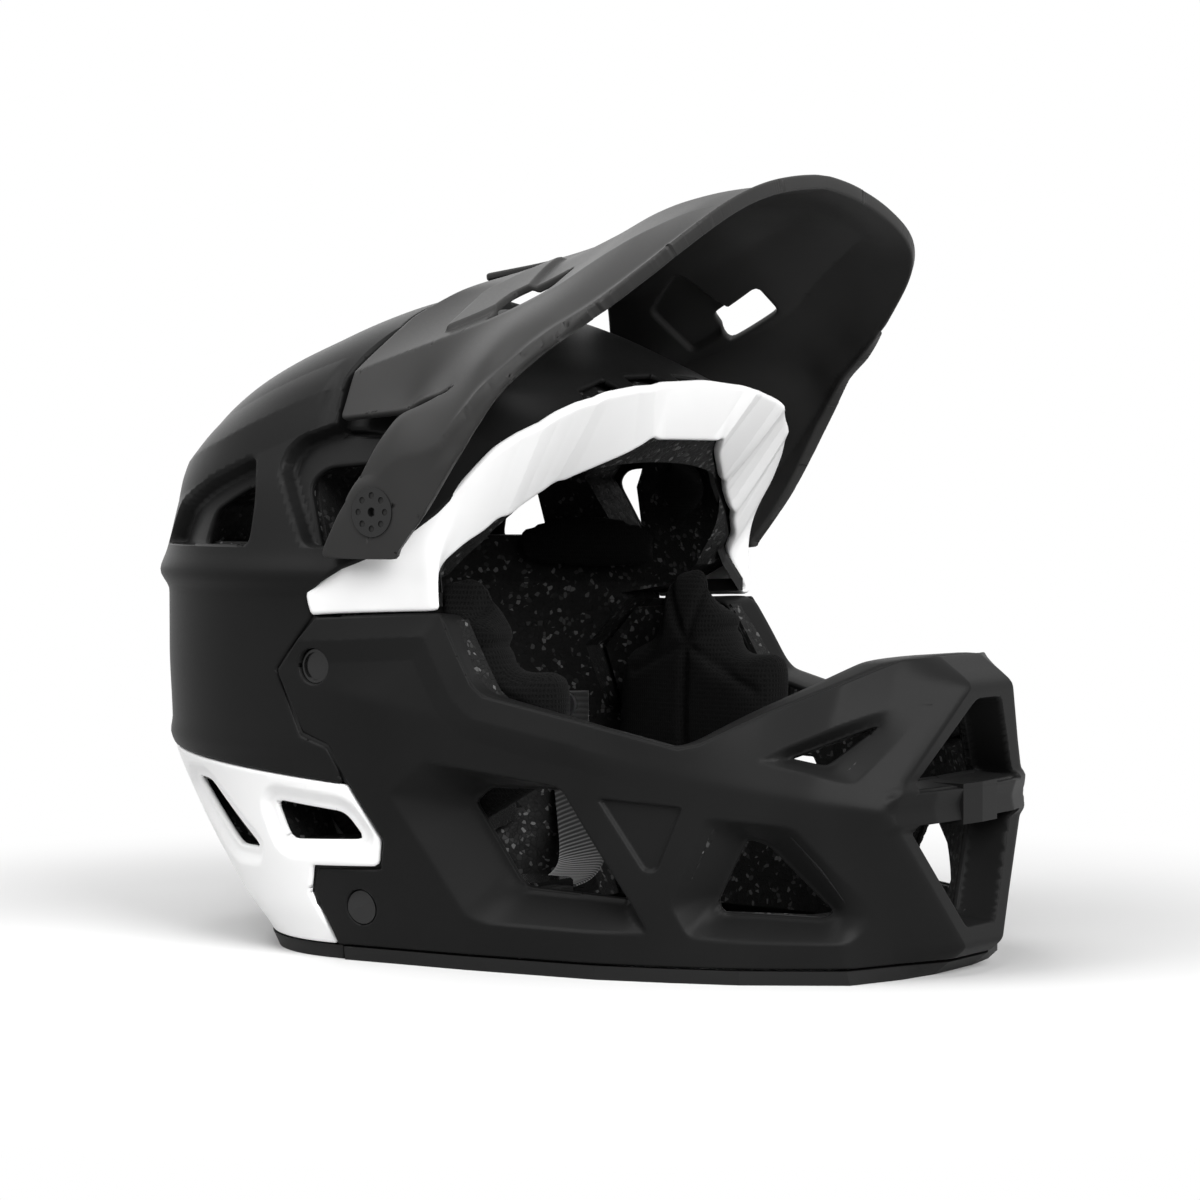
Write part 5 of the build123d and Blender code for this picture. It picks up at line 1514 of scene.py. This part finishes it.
@dataclass
class Liner:
    """Pads of the liner: each is its solid, drawn in a little, blown up as cloth and sewn down in channels."""

    voxel: float = 2.4 * MM
    inset: float = 1.3 * MM
    pressure: float = 4.0
    quality: int = 4
    frames: int = 20
    weld: float = 0.01 * MM
    softening: float = 0.5
    middle: tuple[float, float] = (0.0, 0.051 - MIDDLE_Y)
    pads: dict[str, Stuffing] = field(default_factory=lambda: {
        "brow_pad": Stuffing(Finish.CLOSE, 0.5, channels=(-2.55, -2.9, 2.9, 2.55)),
        "occipital_pad": Stuffing(Finish.MESH, 0.6, channels=(-0.42, 0.0, 0.42)),
        "neck_roll": Stuffing(Finish.FLEECE, 0.7, channels=(-0.35, 0.35)),
        "crown_pad": Stuffing(Finish.MESH, 0.5),
        **{f"temple_pad_{side}": Stuffing(Finish.MESH, 0.5) for side in SIDES},
        **{f"cheek_pad_{side}": Stuffing(Finish.MESH, 0.8, 3.2 * MM, star=STAR_SHARES, rounding=80)
           for side in SIDES},
    })

    def start(self, node: str) -> bpy.types.Object:
        """Closed even mesh of a pad's solid, its corners softened and its faces drawn in."""
        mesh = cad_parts[node].data.copy()
        mesh.materials.clear()
        solid = bmesh.new()
        solid.from_mesh(mesh)
        bmesh.ops.remove_doubles(solid, verts=solid.verts, dist=self.weld)
        solid.to_mesh(mesh)
        solid.free()
        piece = put(node + "_cushion", mesh)
        voxels = piece.modifiers.new("even", "REMESH")
        voxels.mode, voxels.voxel_size, voxels.use_smooth_shade = "VOXEL", self.voxel, True
        soften = piece.modifiers.new("soften", "SMOOTH")
        soften.factor, soften.iterations = self.softening, self.pads[node].rounding
        draw_in = piece.modifiers.new("draw_in", "DISPLACE")
        draw_in.strength, draw_in.mid_level = -self.inset, 0.0
        self.bake(piece)
        return piece

    def bake(self, piece: bpy.types.Object) -> None:
        """Apply a piece's modifiers."""
        bpy.context.view_layer.update()
        done = bpy.data.meshes.new_from_object(piece.evaluated_get(bpy.context.evaluated_depsgraph_get()))
        piece.modifiers.clear()
        piece.data = done

    def points(self, mesh: bpy.types.Mesh, normals: bool = False) -> Array:
        """Corners of a mesh, or their normals."""
        flat = np.empty(3 * len(mesh.vertices), np.float32)
        source, name = (mesh.vertex_normals, "vector") if normals else (mesh.vertices, "co")
        source.foreach_get(name, flat)
        return flat.reshape(-1, 3).astype(float)

    def place(self, piece: bpy.types.Object, points: Array) -> None:
        """Move a mesh's corners."""
        piece.data.vertices.foreach_set("co", np.ascontiguousarray(points, np.float32).ravel())
        piece.data.update()

    def swell(self, pieces: dict[str, bpy.types.Object]) -> None:
        """Blow every pad up at once as cloth under pressure, and cap how far each point went.

        A point moves by the cap times the hyperbolic tangent of its own way over the cap.
        """
        before = {node: self.points(piece.data) for node, piece in pieces.items()}
        for piece in pieces.values():
            cloth = piece.modifiers.new("stuffing", "CLOTH")
            cloth.settings.quality = self.quality
            cloth.settings.use_pressure = True
            cloth.settings.uniform_pressure_force = self.pressure
            cloth.settings.effector_weights.gravity = 0.0
            cloth.point_cache.frame_start, cloth.point_cache.frame_end = 1, self.frames
        for step in range(1, self.frames + 1):
            bpy.context.scene.frame_set(step)
        for node, piece in pieces.items():
            self.bake(piece)
            moved = self.points(piece.data) - before[node]
            way = np.linalg.norm(moved, axis=1, keepdims=True)
            cap = self.pads[node].cap
            self.place(piece, before[node] + moved * cap * np.tanh(way / cap) / np.maximum(way, 1e-9))
        bpy.context.scene.frame_set(1)

    def sew(self, how: Stuffing, piece: bpy.types.Object) -> None:
        """Sink seams: along the inward normal by the groove times e to minus the squared distance over its width."""
        if not (how.channels or how.star):
            return
        points, normals = self.points(piece.data), self.points(piece.data, normals=True)
        away = np.full(len(points), np.inf)
        x, y = (points[:, :2] - self.middle).T
        bearing, reach = np.arctan2(x, y), np.hypot(x, y)
        for turn in how.channels:
            away = np.minimum(away, np.abs((bearing - turn + math.pi) % math.tau - math.pi) * reach)
        spots, star = points[:, 1:] + [MIDDLE_Y, 0], np.array(how.star) * HALF_HEAD
        for end in star[1:]:
            run = end - star[0]
            share = np.clip((spots - star[0]) @ run / (run @ run), 0, 1)
            away = np.minimum(away, np.linalg.norm(spots - star[0] - share[:, None] * run, axis=1))
        sink = how.groove * np.exp(-((away / how.groove_width) ** 2))
        self.place(piece, points - normals * sink[:, None])

    def build(self) -> None:
        pieces = {node: self.start(node) for node in self.pads}
        self.swell(pieces)
        for node, piece in pieces.items():
            how = self.pads[node]
            finer = piece.modifiers.new("finer", "SUBSURF")
            finer.levels = finer.render_levels = 1
            self.bake(piece)
            self.sew(how, piece)
            piece.data.shade_smooth()
            declare(piece, how.finish, node)


@dataclass
class ChinStrap:
    """Webbing from each anchor down to the buckle, a flat band with round edges along a smooth route."""

    width: float = 20.0 * MM
    thickness: float = 1.8 * MM
    softness: float = 3.0
    steps: int = 150
    around: int = 20
    side_power: float = 0.4
    rise_power: float = 0.8

    def band(self) -> tuple[Body, Array]:
        """Shape of the left half and its UV map in metres.

        Each section is a squashed ring: half the width times the cosine of the angle to the power of two
        fifths along Y, and half the thickness times its sine to the power of four fifths across.
        """
        route = sizes(STRAP_SHARES)
        along = lengths(route)
        spots = np.linspace(0, along[-1], self.steps)
        line = blur(smooth_rows(along, route, spots), self.softness)
        run = unit(np.gradient(line, axis=0))
        wide = unit([0.0, 1.0, 0.0] - run * run[:, 1:2])
        out = np.cross(run, wide)
        angle = np.linspace(0, math.tau, self.around, endpoint=False)
        side, rise = (
            np.sign(value) * np.abs(value) ** power * size / 2
            for value, power, size in (
                (np.cos(angle), self.side_power, self.width), (np.sin(angle), self.rise_power, self.thickness)))
        rings = line[:, None] + side[None, :, None] * wide[:, None] + rise[None, :, None] * out[:, None]
        mapped = np.stack(np.broadcast_arrays(spots[:, None], side[None, :]), 2).reshape(-1, 2)
        return tube(rings), np.vstack([mapped, [[0, 0], [along[-1], 0]]])

    def build(self) -> None:
        """Make both halves."""
        body, mapped = self.band()
        for side, half in zip(SIDES, (body, body.reflected())):
            piece = make_mesh(f"strap_{side}_web", half, mapped)
            declare(piece, Finish.STRAP, f"strap_{side}")


# The whole helmet
def declare(piece: bpy.types.Object, finish: Finish, node: str, rides: str = "helmet") -> None:
    """Give a made piece its finish, and say which body it rides, which CAD node it replaces.

    Args:
        piece: The made piece.
        finish: Its finish.
        node: The CAD node in whose place it is.
        rides: The body that carries it.
    """
    Paint.coat(piece, finish)
    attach(piece, rides)
    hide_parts(node)
    log.info("%s: %d points, %d faces", piece.name, len(piece.data.vertices), len(piece.data.polygons))


def paired(finish: Finish, *names: str) -> dict[str, Finish]:
    """One finish for the left and the right node of each name."""
    return {f"{name}_{side}": finish for name in names for side in SIDES}


@dataclass
class Helmet:
    """Every dressed piece: what is made here, and the CAD nodes that only take a finish."""

    kept: dict[str, Finish] = field(default_factory=lambda: {
        **dict.fromkeys(("eps_crown", "eps_rear", "eps_chin"), Finish.FOAM),
        "front_bar_clip": Finish.SHELL,
        **dict.fromkeys(("rear_base_trim", "chin_base_trim", "eyeport_trim"), Finish.RUBBER),
        **paired(Finish.RUBBER, "seam_gasket"),
        **paired(Finish.GLOSS, "plug_upper", "visor_screw"), "buckle_body": Finish.GLOSS,
        **paired(Finish.SATIN, "plug_lower"), "buckle_tab": Finish.SATIN,
        **paired(Finish.BRASS, "visor_insert"),
        **paired(Finish.STEEL, "strap_rivet", "chin_bolt_upper", "chin_bolt_lower"),
    })

    def build(self) -> None:
        """Make and dress every piece."""
        for name, finish in self.kept.items():
            Paint.coat(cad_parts[name], finish)
        for name, maker, finish, node, slot in (
            ("crown_skin", CrownShell, Finish.SHELL, "crown_shell", "black_shell"),
            ("rear_skin", RearShell, Finish.WHITE, "rear_shell", "white_shell"),
            ("brow_band_skin", BrowBand, Finish.WHITE, "brow_band", "white_shell"),
            ("chin_bar_skin", ChinBar, Finish.SHELL, "chin_bar", "black_shell"),
        ):
            declare(make_mesh(name, maker().body()), finish, node)
        declare(make_mesh("visor_skin", Visor().body()), Finish.VISOR, "visor", rides="visor")
        Liner().build()
        ChinStrap().build()


@dataclass
class Studio:
    """Floor, world, lamps and camera; a lamp is its name, place, size and power."""

    floor_size: float = 12.0
    floor_levels: tuple[float, float] = (0.53, 0.56)
    floor_fade: tuple[float, float] = (0.21, 0.46)
    floor_glow: float = 0.3
    floor_scale: float = 3.0
    azimuth: float = -56.0
    elevation: float = 2.084
    distance: float = 1.3446
    target: Point3 = (0.0, -0.00275, 0.1315)
    sensor: float = 36.0
    zoom: float = 2.58 / 1.2
    world_level: float = 0.06
    lamps: tuple[tuple[str, Point3, float, float], ...] = (
        ("key", (-0.6, -1.5, 1.0), 1.2, 56.0),
        ("left", (-1.3, 0.8, 1.3), 1.1, 20.0),
        ("top", (-0.4, 0.2, 1.6), 1.2, 26.0),
        ("rear", (0.9, 1.6, 0.9), 1.4, 8.0),
    )

    def floor(self) -> None:
        """Plain pale floor that the camera sees as white, with the helmet's shadow on it."""
        mesh = bpy.data.meshes.new("floor")
        corners = np.array([(-1, -1, 0), (1, -1, 0), (1, 1, 0), (-1, 1, 0)]) * self.floor_size / 2
        mesh.from_pydata(corners.tolist(), [], [(0, 1, 2, 3)])
        g = Graph("pale_floor")
        low, high = (grey(level) for level in self.floor_levels)
        clouds = g.noise(self.floor_scale).spread(0.3, 0.7)
        g.set(Base_Color=g.mix(clouds, low, high), Roughness=0.9, Specular_IOR_Level=0.0)
        far = g.node("ShaderNodeVectorMath", {"operation": "LENGTH"}, {0: g.place()})[-1]
        strength = g.seen().spread(0, 1, self.floor_glow)
        g.cover(far.spread(*self.floor_fade), g.node("ShaderNodeEmission", {}, {"Strength": strength})[0])
        mesh.materials.append(g.material)
        put("floor", mesh)

    def world(self) -> None:
        """World that lights the helmet at a plain level and is white to the camera."""
        world = bpy.data.worlds.new("studio")
        world.use_nodes = True
        nodes = Nodes(world.node_tree)
        background = world.node_tree.nodes["Background"]
        nodes.feed(background.inputs["Strength"], nodes.seen().spread(0, 1, self.world_level))
        background.inputs["Color"].default_value = (1, 1, 1, 1)
        bpy.context.scene.world = world

    def light(self, name: str, place: Point3, size: float, power: float) -> None:
        """Square area lamp aimed at the helmet's middle."""
        light = bpy.data.lights.new(name, "AREA")
        light.shape, light.size, light.energy = "SQUARE", size, power
        lamp = put(name, light)
        lamp.location = place
        lamp.rotation_euler = (Vector(self.target) - lamp.location).to_track_quat("-Z", "Y").to_euler()

    def camera(self) -> None:
        """Camera at the photograph's angle; its focal length keeps the helmet's size at any distance."""
        a, e = math.radians(self.azimuth), math.radians(self.elevation)
        back = Vector((math.sin(a) * math.cos(e), -math.cos(a) * math.cos(e), math.sin(e)))
        data = bpy.data.cameras.new("camera")
        data.lens, data.sensor_width = self.zoom * self.distance * self.sensor, self.sensor
        data.sensor_fit = "HORIZONTAL"
        camera = put("camera", data)
        camera.location = Vector(self.target) + back * self.distance
        camera.rotation_euler = back.to_track_quat("Z", "Y").to_euler()
        bpy.context.scene.camera = camera

    def build(self) -> None:
        """Make the studio."""
        self.floor()
        self.world()
        self.camera()
        for lamp in self.lamps:
            self.light(*lamp)
        bpy.context.scene.view_settings.view_transform = "Standard"


def main() -> None:
    """Build the helmet and its studio."""
    logging.basicConfig(level=logging.INFO, format="%(message)s")
    Helmet().build()
    Studio().build()


if __name__ == "__main__":
    main()
